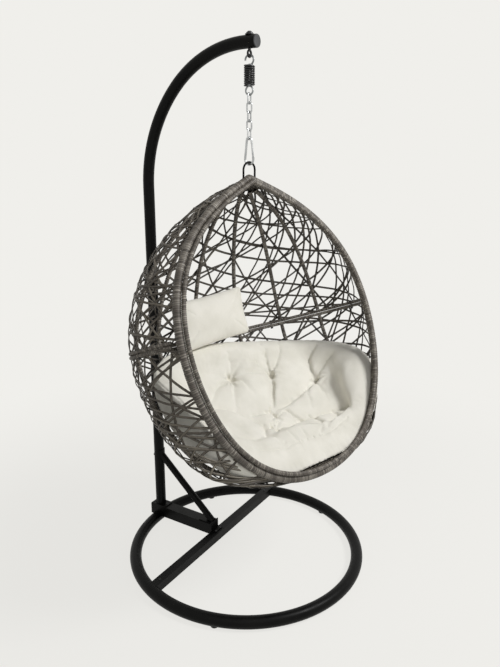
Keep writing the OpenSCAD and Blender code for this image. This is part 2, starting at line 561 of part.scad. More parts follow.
// ---- basket ----
hoop_n = 17;
function side_pt(u, s) = [s*hoop_w(u), 0, -hoop_s(u)];
upper_hoop = [for (i = [-hoop_n:hoop_n]) side_pt(seam_u*abs(i)/hoop_n, i < 0 ? -1 : 1)];
lower_hoop = [for (i = [-hoop_n:hoop_n]) side_pt(1 - (1 - seam_u)*abs(i)/hoop_n, i < 0 ? -1 : 1)];
trim_off = (wrap_d + trim_d)/2 + fit;
function trim_pt(p, i) = let (t = tangent(p, i), m0 = [0, 0, -hoop_len/2] - p[i], b = unit(m0 - (m0*t)*t)) p[i] + trim_off*sin(45)*(b + [0, -1, 0]);
function trimmed(p) = [for (i = [0:len(p) - 1]) trim_pt(p, i)];
hoop_sides = 12;
wrap_r = wrap_d/2;
frame_r = frame_d/2;
module hoop_room(g = fit) { sweep(stretch(upper_hoop), wrap_r + g, hoop_sides); sweep(stretch(lower_hoop), wrap_r + g, hoop_sides); }
function stretch(p) = concat([p[0] + 3*(p[0] - p[1])/norm(p[0] - p[1])], p, [p[len(p) - 1] + 3*(p[len(p) - 1] - p[len(p) - 2])/norm(p[len(p) - 1] - p[len(p) - 2])]);
module hoop_tube_upper() color("#55585a") in_place() intersection() {
    difference() { sweep(stretch(upper_hoop), frame_r, 8); sweep(stretch(stretch(upper_hoop)), frame_r - frame_wall, 8); }
    above_seam();
}
module hoop_tube_lower() color("#55585a") in_place() intersection() {
    difference() { sweep(stretch(lower_hoop), frame_r, 8); sweep(stretch(stretch(lower_hoop)), frame_r - frame_wall, 8); }
    below_seam();
}
pin_du = 0.022;
module hoop_pins() color("#55585a") in_place() for (s = [-1, 1])
    sweep([for (k = [-2:2]) side_pt(seam_u + k*pin_du/2, s)], frame_r - frame_wall - 1.2, 8);
module hoop_wrap_upper() color("#5f5a52") in_place() intersection() {
    difference() { sweep(stretch(upper_hoop), wrap_r, hoop_sides); sweep(stretch(stretch(upper_hoop)), frame_r + fit, 8); }
    above_seam();
}
module hoop_wrap_lower() color("#5f5a52") in_place() intersection() {
    difference() { sweep(stretch(lower_hoop), wrap_r, hoop_sides); sweep(stretch(stretch(lower_hoop)), frame_r + fit, 8); }
    below_seam();
}
module trim_upper() color("#6b665d") in_place() intersection() {
    difference() { sweep(stretch(trimmed(upper_hoop)), trim_d/2, 8); hoop_room(0.2); }
    above_seam();
}
module trim_lower() color("#6b665d") in_place() intersection() {
    difference() { sweep(stretch(trimmed(lower_hoop)), trim_d/2, 8); hoop_room(0.2); }
    below_seam();
}
module trim_room() { sweep(stretch(trimmed(upper_hoop)), trim_d/2 + fit + 0.2, 8); sweep(stretch(trimmed(lower_hoop)), trim_d/2 + fit + 0.2, 8); }
cap_y = wrap_r + fit;
module peak_ball(g = 0) sphere(r = peak_cap_r + g, $fn = 40);
module foot_ball(g = 0) translate([0, 0, -hoop_len]) sphere(r = foot_cap_r + g, $fn = 40);
module peak_cap() color("#5f5a52") in_place() difference() {
    intersection() {
        difference() { egg_solid(0); egg_solid(cap_t); }
        behind_hoop(cap_y);
        peak_ball();
    }
    hoop_room();
}
module foot_patch() color("#5f5a52") in_place() difference() {
    intersection() {
        difference() { egg_solid(0); egg_solid(cap_t); }
        behind_hoop(cap_y);
        foot_ball();
    }
    hoop_room();
}
bar_r = bar_d/2;
weave_edge = bar_d + 2*ease;
module weave_upper() color("#6e685e") in_place() difference() {
    intersection() {
        difference() { egg_solid(0); egg_solid(weave_t); }
        behind_hoop(cap_y);
        above_seam(weave_edge);
    }
    hoop_room();
    peak_ball(fit);
    seam_bolt_pockets();
}
module weave_lower() color("#6e685e") in_place() difference() {
    intersection() {
        difference() { egg_solid(0); egg_solid(weave_t); }
        behind_hoop(cap_y);
        below_seam(weave_edge);
    }
    hoop_room();
    foot_ball(fit);
    seam_bolt_pockets();
}
bar_n = 30;
function bar_path(s) = [for (j = [0:bar_n]) let (v = j/bar_n, p = egg(find_u(v, s), v), q = inward(p, bar_r)) [q[0], q[1], -s]];
module seam_bar(s) difference() {
    sweep(stretch(bar_path(s)), bar_r, 8);
    hoop_room();
    seam_bolt_room();
}
bolt_v = [0.12, 0.37, 0.63, 0.88];
module at_seam_bolts() for (v = bolt_v) let (q = inward(egg(find_u(v, seam_at), v), bar_r)) translate([q[0], q[1], -seam_at]) children();
module seam_bolt_pockets() at_seam_bolts() cylinder(d = 2*seam_bolt_d + 2, h = 4*bar_d, center = true, $fn = 20);
module seam_bolt_room() at_seam_bolts() cylinder(d = seam_bolt_d + 0.4, h = 4*bar_d, center = true, $fn = 24);
module seam_bar_upper() color("#57524a") in_place() intersection() { seam_bar(seam_at - bar_r - ease); above_seam(ease/2); }
module seam_bar_lower() color("#57524a") in_place() intersection() { seam_bar(seam_at + bar_r + ease); below_seam(ease/2); }
module seam_bolts() color("#2a2a2b") in_place() at_seam_bolts() {
    translate([0, 0, bar_d + ease + 0.1]) button_bolt(seam_bolt_d, 2*bar_d + 6);
    translate([0, 0, -bar_d - ease - 0.1 - 5]) hex_nut(seam_bolt_d, 5);
}
rib_in = weave_t + rib_d/2 + fit + 8;
rib_k = 14;
function rib_v(k) = 0.5 + (k - (rib_n - 1)/2)*rib_step;
function rib_path(v, u0, u1) = [for (i = [0:rib_k]) inward(egg(u0 + (u1 - u0)*i/rib_k, v), rib_in)];
module ribs_upper() color("#57524a") in_place() difference() {
    intersection() {
        union() for (k = [0:rib_n - 1]) sweep(rib_path(rib_v(k), 0.04, find_u(rib_v(k), seam_at) + 0.03), rib_d/2, 8);
        above_seam(weave_edge);
    }
    hoop_room();
    peak_ball(fit);
}
module ribs_lower() color("#57524a") in_place() difference() {
    intersection() {
        union() for (k = [0:rib_n - 1]) sweep(rib_path(rib_v(k), find_u(rib_v(k), seam_at) - 0.03, 0.96), rib_d/2, 8);
        below_seam(weave_edge);
    }
    hoop_room();
    foot_ball(fit);
}
module hanging_loop() color("#2a2a2b") difference() {
    translate([0, hook_y, loop_c_z]) rotate([0, 0, basket_turn]) {
        rotate([90, 0, 0]) rotate_extrude(angle = 180, $fn = 96) translate([loop_r, 0]) circle(d = loop_rod, $fn = 40);
        for (s = [-1, 1]) translate([s*loop_r, 0, -(loop_c_z - peak_z) - 12]) cylinder(d = loop_rod, h = loop_c_z - peak_z + 12, $fn = 40);
    }
    in_place() hoop_room(0.2);
}

// ---- cushions ----
seat_in = rib_in + rib_d/2 + 7.5;
seat_u1 = 0.975;
seat_half = 0.445;
seat_n = 11;
seat_m = 46;
seam_lift = 30;
// Upper edge of the seat cushion: high at the back, lower towards the sides
function seat_u0(v) = seam_u + 0.006 + 0.12*pow(max(0, (0.5 - v)/0.44), 1.2) + 0.06*pow(max(0, (v - 0.6)/0.34), 1.5);
function boxy(a, k) = sign(a)*pow(abs(a), k);
function seat_uv(r, a) = let (k = sin(a) > 0 ? 0.42 : 0.6, v = 0.5 + r*boxy(cos(a), k)*seat_half, u0 = seat_u0(v))
    [(u0 + seat_u1)/2 + r*boxy(sin(a), k)*(seat_u1 - u0)/2, v];
tufts = [[0.631, 0.562], [0.651, 0.421], [0.695, 0.31], [0.774, 0.493], [0.834, 0.529], [0.69, 0.67]];
function seat_face(r, a) = let (q = seat_uv(r, a)) inward(egg(q[0], q[1]), seat_in + seam_lift*pow(r, 8));
function dip(p) = max([for (t = tufts) exp(-pow(norm(p - inward(egg(t[0], t[1]), seat_in))/tuft_spread, 2))]);
function crease(r, a) = 0.17*pow(abs(cos(4*a + 12)), 10)*r*(1 - pow(r, 4));
function seat_thick(r, a) = seat_t*sqrt(1 - pow(r, 6))*(1 - crease(r, a)) - tuft_depth*dip(seat_face(r, a))*(1 - pow(r, 6));
// The rim swells forward over the hoop, least at the back
function swell(r, a) = lip_out*(pow(r, 4) - 0.55*pow(r, 12))*(sin(a) > 0 ? 1 : 0.2 + 0.8*pow(abs(cos(a)), 0.8));
function seat_low(r, a) = seat_face(r, a) - [0, swell(r, a)*pow(r, 6), 0];
function seat_top(r, a) = inward(seat_face(r, a), max(0, seat_thick(r, a))) - [0, swell(r, a), 0];
module seat_cushion() color("#e4e0d4") in_place() difference() {
    seat_body();
    hoop_room(fit + 0.2);
    trim_room();
}
module seat_body() {
    n = seat_n;
    m = seat_m;
    // Lower face rings 1..n, then upper face rings n-1..1, with a middle point on each face
    pts = [seat_low(0, 0),
        for (i = [1:n], j = [0:m - 1]) seat_low(i/n, 360*j/m),
        for (i = [n - 1:-1:1], j = [0:m - 1]) seat_top(i/n, 360*j/m),
        seat_top(0, 0)];
    last = 1 + (2*n - 1)*m;
    polyhedron(points = pts, faces = [
        for (j = [0:m - 1]) [0, 1 + j, 1 + (j + 1)%m],
        for (i = [0:2*n - 3], j = [0:m - 1]) let (a = 1 + i*m + j, b = 1 + i*m + (j + 1)%m) [a, a + m, b + m],
        for (i = [0:2*n - 3], j = [0:m - 1]) let (a = 1 + i*m + j, b = 1 + i*m + (j + 1)%m) [a, b + m, b],
        for (j = [0:m - 1]) let (a = 1 + (2*n - 2)*m + j, b = 1 + (2*n - 2)*m + (j + 1)%m) [a, last, b]]);
}
pil_n = 10;
pil_m = 14;
// Half thickness of the pillow at x, z in -1..1: full in the middle, drawn in to its seams
function pillow_half(x, z) = 4 + (pillow_t/2 - 4)*pow(max(0, (1 - pow(abs(x), 4))*(1 - pow(abs(z), 3))), 0.6);
function pillow_back(x, z) = let (px = pillow_x + x*pillow_l/2*(1 - 0.05*z*z), pz = -pillow_at + z*pillow_h/2*(1 - 0.07*x*x),
    v = pillow_v(px, -pz), p = inward(egg(find_u(v, -pz), v), rib_in + rib_d/2 + 3)) [px, p[1] - pillow_t/2 - pillow_lean*(1 - z)/2, pz];
function pillow_v(x, s, lo = 0.2, hi = 0.8, k = 14) = let (m = (lo + hi)/2)
    k == 0 ? m : egg(find_u(m, s), m)[0] > x ? pillow_v(x, s, m, hi, k - 1) : pillow_v(x, s, lo, m, k - 1);
module head_pillow() color("#e4e0d4") in_place() {
    n = pil_n;
    m = pil_m;
    base = [for (i = [0:n], j = [0:m]) pillow_back(2*j/m - 1, 2*i/n - 1)];
    half = [for (i = [0:n], j = [0:m]) pillow_half(2*j/m - 1, 2*i/n - 1)];
    c = (n + 1)*(m + 1);
    w = m + 1;
    polyhedron(points = [for (q = [0:c - 1]) base[q] - [0, half[q], 0], for (q = [0:c - 1]) base[q] + [0, half[q], 0]],
        faces = [
            for (i = [0:n - 1], j = [0:m - 1]) let (a = i*w + j) [a, a + w, a + w + 1],
            for (i = [0:n - 1], j = [0:m - 1]) let (a = i*w + j) [a, a + w + 1, a + 1],
            for (i = [0:n - 1], j = [0:m - 1]) let (a = c + i*w + j) [a, a + w + 1, a + w],
            for (i = [0:n - 1], j = [0:m - 1]) let (a = c + i*w + j) [a, a + 1, a + w + 1],
            for (j = [0:m - 1]) let (a = j) [a, a + 1, c + a + 1],
            for (j = [0:m - 1]) let (a = j) [a, c + a + 1, c + a],
            for (j = [0:m - 1]) let (a = n*w + j) [a, c + a + 1, a + 1],
            for (j = [0:m - 1]) let (a = n*w + j) [a, c + a, c + a + 1],
            for (i = [0:n - 1]) let (a = i*w) [a, c + a + w, a + w],
            for (i = [0:n - 1]) let (a = i*w) [a, c + a, c + a + w],
            for (i = [0:n - 1]) let (a = i*w + m) [a, a + w, c + a + w],
            for (i = [0:n - 1]) let (a = i*w + m) [a, c + a + w, c + a]]);
}

base_ring_front();
base_ring_rear();
ring_sleeves();
glides();
crossbar();
crossbar_plugs();
crossbar_bolts();
spur();
spur_tail_cap();
spur_bracket();
spur_bracket_bolts();
post();
post_foot_plate();
post_foot_bolts();
arm();
slip_joint_bolt();
brace();
brace_saddle();
brace_bolt();
brace_foot_plate();
arm_end_cap();
eye_bolt();
eye_bolt_nut();
spring_top_hook();
spring();
spring_bottom_hook();
chain_link_1();
chain_link_2();
chain_link_3();
chain_link_4();
chain_link_5();
snap_hook();
snap_hook_gate();
snap_hook_pin();
hanging_loop();
peak_cap();
hoop_tube_upper();
hoop_tube_lower();
hoop_pins();
hoop_wrap_upper();
hoop_wrap_lower();
trim_upper();
trim_lower();
ribs_upper();
ribs_lower();
seam_bar_upper();
seam_bar_lower();
seam_bolts();
weave_upper();
weave_lower();
foot_patch();
seat_cushion();
head_pillow();
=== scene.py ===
import json
import math
import random

import bpy
import numpy as np
from mathutils import Matrix, Vector


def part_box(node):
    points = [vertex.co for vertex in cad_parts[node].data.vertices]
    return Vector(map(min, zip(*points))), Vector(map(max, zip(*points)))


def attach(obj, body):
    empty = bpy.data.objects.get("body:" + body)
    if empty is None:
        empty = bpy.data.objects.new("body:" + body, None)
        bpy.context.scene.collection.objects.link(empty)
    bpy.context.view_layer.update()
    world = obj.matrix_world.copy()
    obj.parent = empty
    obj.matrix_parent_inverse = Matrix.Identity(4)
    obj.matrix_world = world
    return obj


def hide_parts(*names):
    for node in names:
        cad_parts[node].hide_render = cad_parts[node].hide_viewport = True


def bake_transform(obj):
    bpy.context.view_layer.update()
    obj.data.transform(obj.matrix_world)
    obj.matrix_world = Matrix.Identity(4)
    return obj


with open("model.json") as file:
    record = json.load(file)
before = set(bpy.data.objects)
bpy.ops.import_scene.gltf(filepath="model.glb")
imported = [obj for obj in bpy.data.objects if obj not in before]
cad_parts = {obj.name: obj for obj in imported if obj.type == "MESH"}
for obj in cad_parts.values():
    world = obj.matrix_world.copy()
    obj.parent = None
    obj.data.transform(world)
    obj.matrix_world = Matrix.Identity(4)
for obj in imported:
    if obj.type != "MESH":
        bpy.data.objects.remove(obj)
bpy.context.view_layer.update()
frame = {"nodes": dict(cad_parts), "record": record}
nodes = frame["nodes"]
scene = bpy.context.scene


def hexColour(text):  # sRGB hex to the linear colour that a socket takes
    channels = [int(text[i:i + 2], 16) / 255 for i in (1, 3, 5)]
    return tuple(c / 12.92 if c <= 0.04045 else ((c + 0.055) / 1.055) ** 2.4 for c in channels) + (1.0,)


def addNode(tree, kind, values=None, links=None, stops=(), **settings):
    node = tree.nodes.new("ShaderNode" + kind)
    for name, value in settings.items():
        setattr(node, name, value)
    for name, value in (values or {}).items():
        node.inputs[name].default_value = value
    for name, source in (links or {}).items():
        tree.links.new(source, node.inputs[name])
    for number, (place, colour) in enumerate(stops):  # a new ramp has two stops
        elements = node.color_ramp.elements
        element = elements[number] if number < len(elements) else elements.new(place)
        element.position = place
        element.color = hexColour(colour)
    return node


def newMaterial(name):
    material = bpy.data.materials.new(name)
    material.use_nodes = True
    tree = material.node_tree
    tree.nodes.clear()
    surface = addNode(tree, "BsdfPrincipled")
    addNode(tree, "OutputMaterial", links={"Surface": surface.outputs["BSDF"]})
    return material, tree, surface


# Materials of the metal and plastic parts: size in mm is the grain of the finish
hardFinishes = {
    # Polyester powder coat on steel tube: satin near-black with a fine orange peel
    "steel_black": {
        "name": "powderCoatedSteel", "dark": "#070707", "light": "#0e0e0d",
        "rough": 0.38, "grain": 2.6, "bump": 0.10, "metal": 0.0, "gloss": 0.10},
    # Cold-drawn tube under the wicker: dull grey, drawn scratches
    "steel_bare": {
        "name": "coldDrawnSteelTube", "dark": "#54575a", "light": "#74777a",
        "rough": 0.42, "grain": 1.6, "bump": 0.06, "metal": 1.0},
    # Black-oxide bolts and nuts: dark, slightly oily sheen
    "fastener": {
        "name": "blackOxideFastener", "dark": "#202021", "light": "#3a3a3b",
        "rough": 0.34, "grain": 1.2, "bump": 0.05, "metal": 0.6},
    # Injection-moulded polypropylene: matt black with a spark-eroded texture
    "plastic_black": {
        "name": "mouldedPolypropylene", "dark": "#101010", "light": "#1b1b1b",
        "rough": 0.55, "grain": 1.0, "bump": 0.12, "metal": 0.0, "gloss": 0.3},
    # Moulded end cap: dark grey, smoother than the tube
    "cap_grey": {
        "name": "mouldedEndCap", "dark": "#2c2d2f", "light": "#3b3c3e",
        "rough": 0.45, "grain": 1.4, "bump": 0.06, "metal": 0.0},
    # Wound spring, black lacquer on oil-tempered wire: glossier than the stand
    "spring_steel": {
        "name": "lacqueredSpringWire", "dark": "#0d0d0d", "light": "#171717",
        "rough": 0.26, "grain": 1.8, "bump": 0.04, "metal": 0.0, "gloss": 0.4},
    # Formed hook wire, dull galvanised grey
    "hook_steel": {
        "name": "galvanisedHookWire", "dark": "#77797a", "light": "#9c9fa0",
        "rough": 0.38, "grain": 2.0, "bump": 0.05, "metal": 1.0},
    # Bright zinc plate on chain and snap hook: clear highlights, faint clouding
    "zinc": {
        "name": "zincPlatedSteel", "dark": "#a3a5a6", "light": "#cfd1d2",
        "rough": 0.25, "grain": 3.0, "bump": 0.03, "metal": 1.0},
}


def hardMaterial(finish):
    material, tree, surface = newMaterial(finish["name"])
    coords = addNode(tree, "TexCoord")
    onPiece = {"Vector": coords.outputs["Object"]}
    clouding = {"Scale": 22.0, "Detail": 4.0, "Roughness": 0.6}  # patches about 45 mm wide
    cloud = addNode(tree, "TexNoise", clouding, onPiece)
    grain = addNode(tree, "TexNoise", {"Scale": 1000 / finish["grain"] / 2, "Detail": 2.0}, onPiece)
    stops = [(0.32, finish["dark"]), (0.68, finish["light"])]
    colour = addNode(tree, "ValToRGB", links={"Fac": cloud.outputs["Fac"]}, stops=stops)
    least, most = finish["rough"] - 0.05, finish["rough"] + 0.09
    spread = {"From Min": 0.3, "From Max": 0.7, "To Min": least, "To Max": most}
    worn = addNode(tree, "MapRange", spread, {"Value": cloud.outputs["Fac"]})
    texture = {"Strength": finish["bump"], "Distance": 0.0004}
    relief = addNode(tree, "Bump", texture, {"Height": grain.outputs["Fac"]})
    tree.links.new(colour.outputs["Color"], surface.inputs["Base Color"])
    tree.links.new(worn.outputs["Result"], surface.inputs["Roughness"])
    tree.links.new(relief.outputs["Normal"], surface.inputs["Normal"])
    surface.inputs["Metallic"].default_value = finish["metal"]
    if "gloss" in finish:
        surface.inputs["Specular IOR Level"].default_value = finish["gloss"]
    return material


# Extruded polyethylene rattan: flat strips with long streaks of three greys and browns, semi-matt; the light
# streaks are partly the strip's own tone and partly painted highlight.
# The strip's own map gives strand number and place across it, and the run along it in metres.
# The groove colour is painted shade at the strip's edges
rattanTones = {
    "wicker": {
        "name": "woundRattanStrip", "dark": "#37322b", "mid": "#59524a", "light": "#a39d92",
        "shadedGroove": "#211d18", "rough": 0.50, "streak": 9.0, "grooveWidth": 0.18},
    "wicker_open": {
        "name": "wovenRattanStrip", "dark": "#332e27", "mid": "#524b41", "light": "#888173",
        "shadedGroove": "#2b2620", "rough": 0.48, "streak": 9.0, "grooveWidth": 0.10},
    "wicker_dense": {
        "name": "plaitedRattanStrip", "dark": "#28231d", "mid": "#484137", "light": "#857e70",
        "shadedGroove": "#17130f", "rough": 0.52, "streak": 8.0, "grooveWidth": 0.14},
}


def rattanMaterial(tones):
    material, tree, surface = newMaterial(tones["name"])
    strip = addNode(tree, "UVMap", uv_map="stripRun")
    split = addNode(tree, "SeparateXYZ", links={"Vector": strip.outputs["UV"]})
    across = addNode(tree, "Math", links={0: split.outputs["X"]}, operation="FRACT")
    strand = addNode(tree, "Math", links={0: split.outputs["X"]}, operation="FLOOR")
    # Streaks run with the strip: noise stretched to about 75 mm, new for every strand
    onStrip = {"X": split.outputs["Y"], "Y": across.outputs[0], "Z": strand.outputs[0]}
    place = addNode(tree, "CombineXYZ", links=onStrip)
    stretch = {1: (tones["streak"], 1.6, 3.7)}
    drawn = addNode(tree, "VectorMath", stretch, {0: place.outputs["Vector"]}, operation="MULTIPLY")
    noise = {"Scale": 1.5, "Detail": 5.0, "Roughness": 0.62}
    streak = addNode(tree, "TexNoise", noise, {"Vector": drawn.outputs["Vector"]})
    tone = addNode(tree, "TexWhiteNoise", links={"W": strand.outputs[0]}, noise_dimensions="1D")
    toned = addNode(tree, "Math", {1: 0.32}, {0: tone.outputs["Value"]}, operation="MULTIPLY")
    mixed = addNode(tree, "Math", links={0: streak.outputs["Fac"], 1: toned.outputs[0]}, operation="ADD")
    # The light stop is partly lighter strip tone and partly painted highlight dashes
    stops = [(0.38, tones["dark"]), (0.64, tones["mid"]), (0.98, tones["light"])]
    colour = addNode(tree, "ValToRGB", links={"Fac": mixed.outputs[0]}, stops=stops)
    # Groove at the strip's edges: its colour is painted shade, and the same mask sinks the groove in the bump
    centred = addNode(tree, "Math", {1: 0.5}, {0: across.outputs[0]}, operation="SUBTRACT")
    away = addNode(tree, "Math", links={0: centred.outputs[0]}, operation="ABSOLUTE")
    edge = {"From Min": 0.5 - tones["grooveWidth"], "From Max": 0.5}
    shadedGroove = addNode(tree, "MapRange", edge, {"Value": away.outputs[0]}, interpolation_type="SMOOTHSTEP")
    mixing = {0: shadedGroove.outputs["Result"], 6: colour.outputs["Color"]}
    shaded = addNode(tree, "Mix", {7: hexColour(tones["shadedGroove"])}, mixing, data_type="RGBA")
    tree.links.new(shaded.outputs[2], surface.inputs["Base Color"])
    ridges = addNode(tree, "Math", {1: 1.6}, {0: shadedGroove.outputs["Result"]}, operation="MULTIPLY")
    raised = {0: streak.outputs["Fac"], 1: ridges.outputs[0]}
    height = addNode(tree, "Math", links=raised, operation="SUBTRACT")
    relief = addNode(tree, "Bump", {"Strength": 0.45, "Distance": 0.0008}, {"Height": height.outputs[0]})
    tree.links.new(relief.outputs["Normal"], surface.inputs["Normal"])
    surface.inputs["Roughness"].default_value = tones["rough"]
    return material


# Piece-dyed polyester canvas, cream: soft fuzz, faint clouding, plain weave drawn at 2.2 mm so that it shows
canvas = {
    "name": "polyesterCanvas", "cream": "#e7e4da", "shade": "#d9d6ca",
    "thread": 2.2, "rough": 0.92, "sheen": 0.25,
}


def canvasMaterial(values):
    material, tree, surface = newMaterial(values["name"])
    coords = addNode(tree, "TexCoord")
    onPiece = {"Vector": coords.outputs["Object"]}
    clouding = {"Scale": 9.0, "Detail": 5.0, "Roughness": 0.55}  # patches about 110 mm wide
    cloud = addNode(tree, "TexNoise", clouding, onPiece)
    stops = [(0.30, values["shade"]), (0.62, values["cream"])]
    colour = addNode(tree, "ValToRGB", links={"Fac": cloud.outputs["Fac"]}, stops=stops)
    thread = {"Scale": 1000 / values["thread"] / 6.283, "Distortion": 1.2, "Detail": 1.0}
    threads = [addNode(tree, "TexWave", thread, onPiece, wave_type="BANDS", bands_direction=axis)
               for axis in "XYZ"]
    pair = {0: threads[0].outputs["Fac"], 1: threads[2].outputs["Fac"]}
    crossed = addNode(tree, "Math", links=pair, operation="MULTIPLY")
    summed = {0: crossed.outputs[0], 1: threads[1].outputs["Fac"]}
    woven = addNode(tree, "Math", links=summed, operation="ADD")
    relief = addNode(tree, "Bump", {"Strength": 0.18, "Distance": 0.0005}, {"Height": woven.outputs[0]})
    tree.links.new(colour.outputs["Color"], surface.inputs["Base Color"])
    tree.links.new(relief.outputs["Normal"], surface.inputs["Normal"])
    surface.inputs["Roughness"].default_value = values["rough"]
    surface.inputs["Sheen Weight"].default_value = values["sheen"]
    surface.inputs["Sheen Roughness"].default_value = 0.5
    return material


materials = {slot: hardMaterial(finish) for slot, finish in hardFinishes.items()}
for slot, tones in rattanTones.items():
    materials[slot] = rattanMaterial(tones)
materials["cushion_cloth"] = canvasMaterial(canvas)
print("materials made")


def dress(piece, material):
    piece.data.materials.clear()
    piece.data.materials.append(material)


for part in frame["record"]["subparts"]:
    dress(nodes[part["node"]], materials[part["material_slot"]])


def deselect():
    if bpy.context.object and bpy.context.object.mode != "OBJECT":
        bpy.ops.object.mode_set(mode="OBJECT")
    bpy.ops.object.select_all(action="DESELECT")


def pick(piece):
    deselect()
    piece.select_set(True)
    bpy.context.view_layer.objects.active = piece


def applyAll(piece):
    pick(piece)
    for modifier in list(piece.modifiers):
        bpy.ops.object.modifier_apply(modifier=modifier.name)


def readPoints(mesh):
    points = np.empty(len(mesh.vertices) * 3)
    mesh.vertices.foreach_get("co", points)
    return points.reshape(-1, 3)


def writePoints(mesh, points):
    mesh.vertices.foreach_set("co", np.ascontiguousarray(points, dtype=np.float64).reshape(-1))
    mesh.update()


def outward(piece):
    pick(piece)
    bpy.ops.object.mode_set(mode="EDIT")
    bpy.ops.mesh.select_all(action="SELECT")
    bpy.ops.mesh.remove_doubles(threshold=0.00001)
    bpy.ops.mesh.normals_make_consistent(inside=False)
    bpy.ops.object.mode_set(mode="OBJECT")


def unit(vectors):
    return vectors / np.maximum(np.linalg.norm(vectors, axis=-1, keepdims=True), 1e-12)


def runAlong(path):  # length of a path from its start to each of its points
    return np.concatenate([[0], np.cumsum(np.linalg.norm(np.diff(path, axis=0), axis=1))])


def resample(path, step):
    path = np.asarray(path, float)
    run = runAlong(path)
    count = max(int(round(run[-1] / step)), 2)
    places = np.linspace(0, run[-1], count + 1)
    return np.stack([np.interp(places, run, path[:, k]) for k in range(3)], axis=1), places


# The basket is an egg cut by its hoop: x across, y to the back, z up from the peak, in metres and degrees
basket = {
    "peak": (0.0, -0.009, 1.5024), "lean": 21.5, "turn": -16.0,
    "hoopHalfWidth": 0.448, "hoopLength": 1.056, "widestAt": 0.545, "peakHalfAngle": 63.0, "peakLead": 0.112,
    "fullUp": 0.385, "fullDown": 0.236, "footHalf": 0.328,
    "depth": 0.418, "deepestAt": 0.543, "backAngle": 98.5, "backLead": 0.190,
    "backFullUp": 0.198, "backFullDown": 0.265, "heel": 0.017,
    "bulgeMiddle": 32.0, "bulgeEnds": 50.0, "seamAt": 0.508,
}


def bezier(a, b, c, d, t):
    return a * (1 - t) ** 3 + 3 * b * (1 - t) ** 2 * t + 3 * c * (1 - t) * t * t + d * t ** 3


def twoCurves(u, upper, lower):
    return np.where(u <= 0.5, bezier(*upper, 2 * u), bezier(*lower, 2 * u - 1))


def hoopWidth(u):
    wide, angle = basket["hoopHalfWidth"], math.radians(basket["peakHalfAngle"])
    lead = basket["peakLead"] * math.sin(angle)
    return twoCurves(u, (0, lead, wide, wide), (wide, wide, basket["footHalf"], 0))


def hoopDrop(u):
    at, end, angle = basket["widestAt"], basket["hoopLength"], math.radians(basket["peakHalfAngle"])
    lead = basket["peakLead"] * math.cos(angle)
    return twoCurves(u, (0, lead, at - basket["fullUp"], at), (at, at + basket["fullDown"], end, end))


def backDepth(u):
    deep, angle = basket["depth"], math.radians(basket["backAngle"])
    lead = basket["backLead"] * math.sin(angle)
    return twoCurves(u, (0, lead, deep, deep), (deep, deep, basket["heel"], 0))


def backDrop(u):
    at, end, angle = basket["deepestAt"], basket["hoopLength"], math.radians(basket["backAngle"])
    lead = basket["backLead"] * math.cos(angle)
    upper, lower = (0, lead, at - basket["backFullUp"], at), (at, at + basket["backFullDown"], end, end)
    return twoCurves(u, upper, lower)


def egg(u, v):  # u runs down from the peak, v round the back from the hoop's right side to its left
    u, v = np.broadcast_arrays(np.asarray(u, float), np.asarray(v, float))
    least, most = basket["bulgeMiddle"], basket["bulgeEnds"]
    bulge = np.radians(least + (most - least) * np.cos(np.pi * u) ** 2)
    angle = -bulge + v * (np.pi + 2 * bulge)
    side = np.cos(angle) / np.cos(bulge)
    back = (np.sin(angle) + np.sin(bulge)) / (1 + np.sin(bulge))
    drop = hoopDrop(u) * (1 - back) + backDrop(u) * back
    return np.stack([hoopWidth(u) * side, backDepth(u) * back, -drop], axis=-1)


middle = np.array([0.0, 0.45 * basket["depth"], -0.55 * basket["hoopLength"]])


def inward(points, depth):
    toMiddle = unit(middle - points)
    return points + toMiddle * (np.asarray(depth)[..., None] if np.ndim(depth) else depth)


def findU(v, drop):  # where the line v passes a drop below the peak
    low = np.zeros_like(np.asarray(v, float) + drop)
    high = low + 1
    for _ in range(26):
        half = (low + high) / 2
        above = -egg(half, v)[..., 2] < drop
        low, high = np.where(above, half, low), np.where(above, high, half)
    return (low + high) / 2


lean, turn = math.radians(-basket["lean"]), math.radians(basket["turn"])
placing = np.array(Matrix.Rotation(turn, 3, "Z") @ Matrix.Rotation(lean, 3, "X"))


def placed(points):
    return np.asarray(points) @ placing.T + np.array(basket["peak"])


# Hoop, trim, ribs and seam bars are tubes wrapped in flat strip
winding = {
    "strip": 0.0065, "relief": 0.0011, "trimRelief": 0.0009, "sides": 14, "ribSides": 12, "ringsPerStrip": 5,
    # Uneven winding: wander and waver in shares of a strip, slack in tightness, and the rate of each
    "wander": 0.35, "wanderRate": 41, "waver": 0.22, "waverRate": 97, "slack": 0.25, "slackRate": 63,
}


def mapWinding(mesh, turns, sides, radius, first):  # the strip's own map, closed at the tube's last side
    while mesh.uv_layers:
        mesh.uv_layers.remove(mesh.uv_layers[0])
    layer = mesh.uv_layers.new(name="stripRun")
    loopVertex = np.empty(len(mesh.loops), dtype=np.int64)
    mesh.loops.foreach_get("vertex_index", loopVertex)
    loopRing, loopSide = loopVertex // sides, (loopVertex % sides).astype(float)
    starts = np.empty(len(mesh.polygons), dtype=np.int64)
    totals = np.empty(len(mesh.polygons), dtype=np.int64)
    mesh.polygons.foreach_get("loop_start", starts)
    mesh.polygons.foreach_get("loop_total", totals)
    face = np.repeat(np.arange(len(starts)), totals)
    highest = np.zeros(len(starts))
    np.maximum.at(highest, face, loopSide)
    closing = (highest[face] == sides - 1) & (loopSide == 0) & (totals[face] == 4)
    loopSide[closing] = sides
    across = turns[loopRing] - loopSide / sides + 200 + first + 0.5  # 200 keeps strand numbers above 0
    along = loopSide / sides * 2 * math.pi * radius
    layer.data.foreach_set("uv", np.stack([across, along], axis=1).ravel())


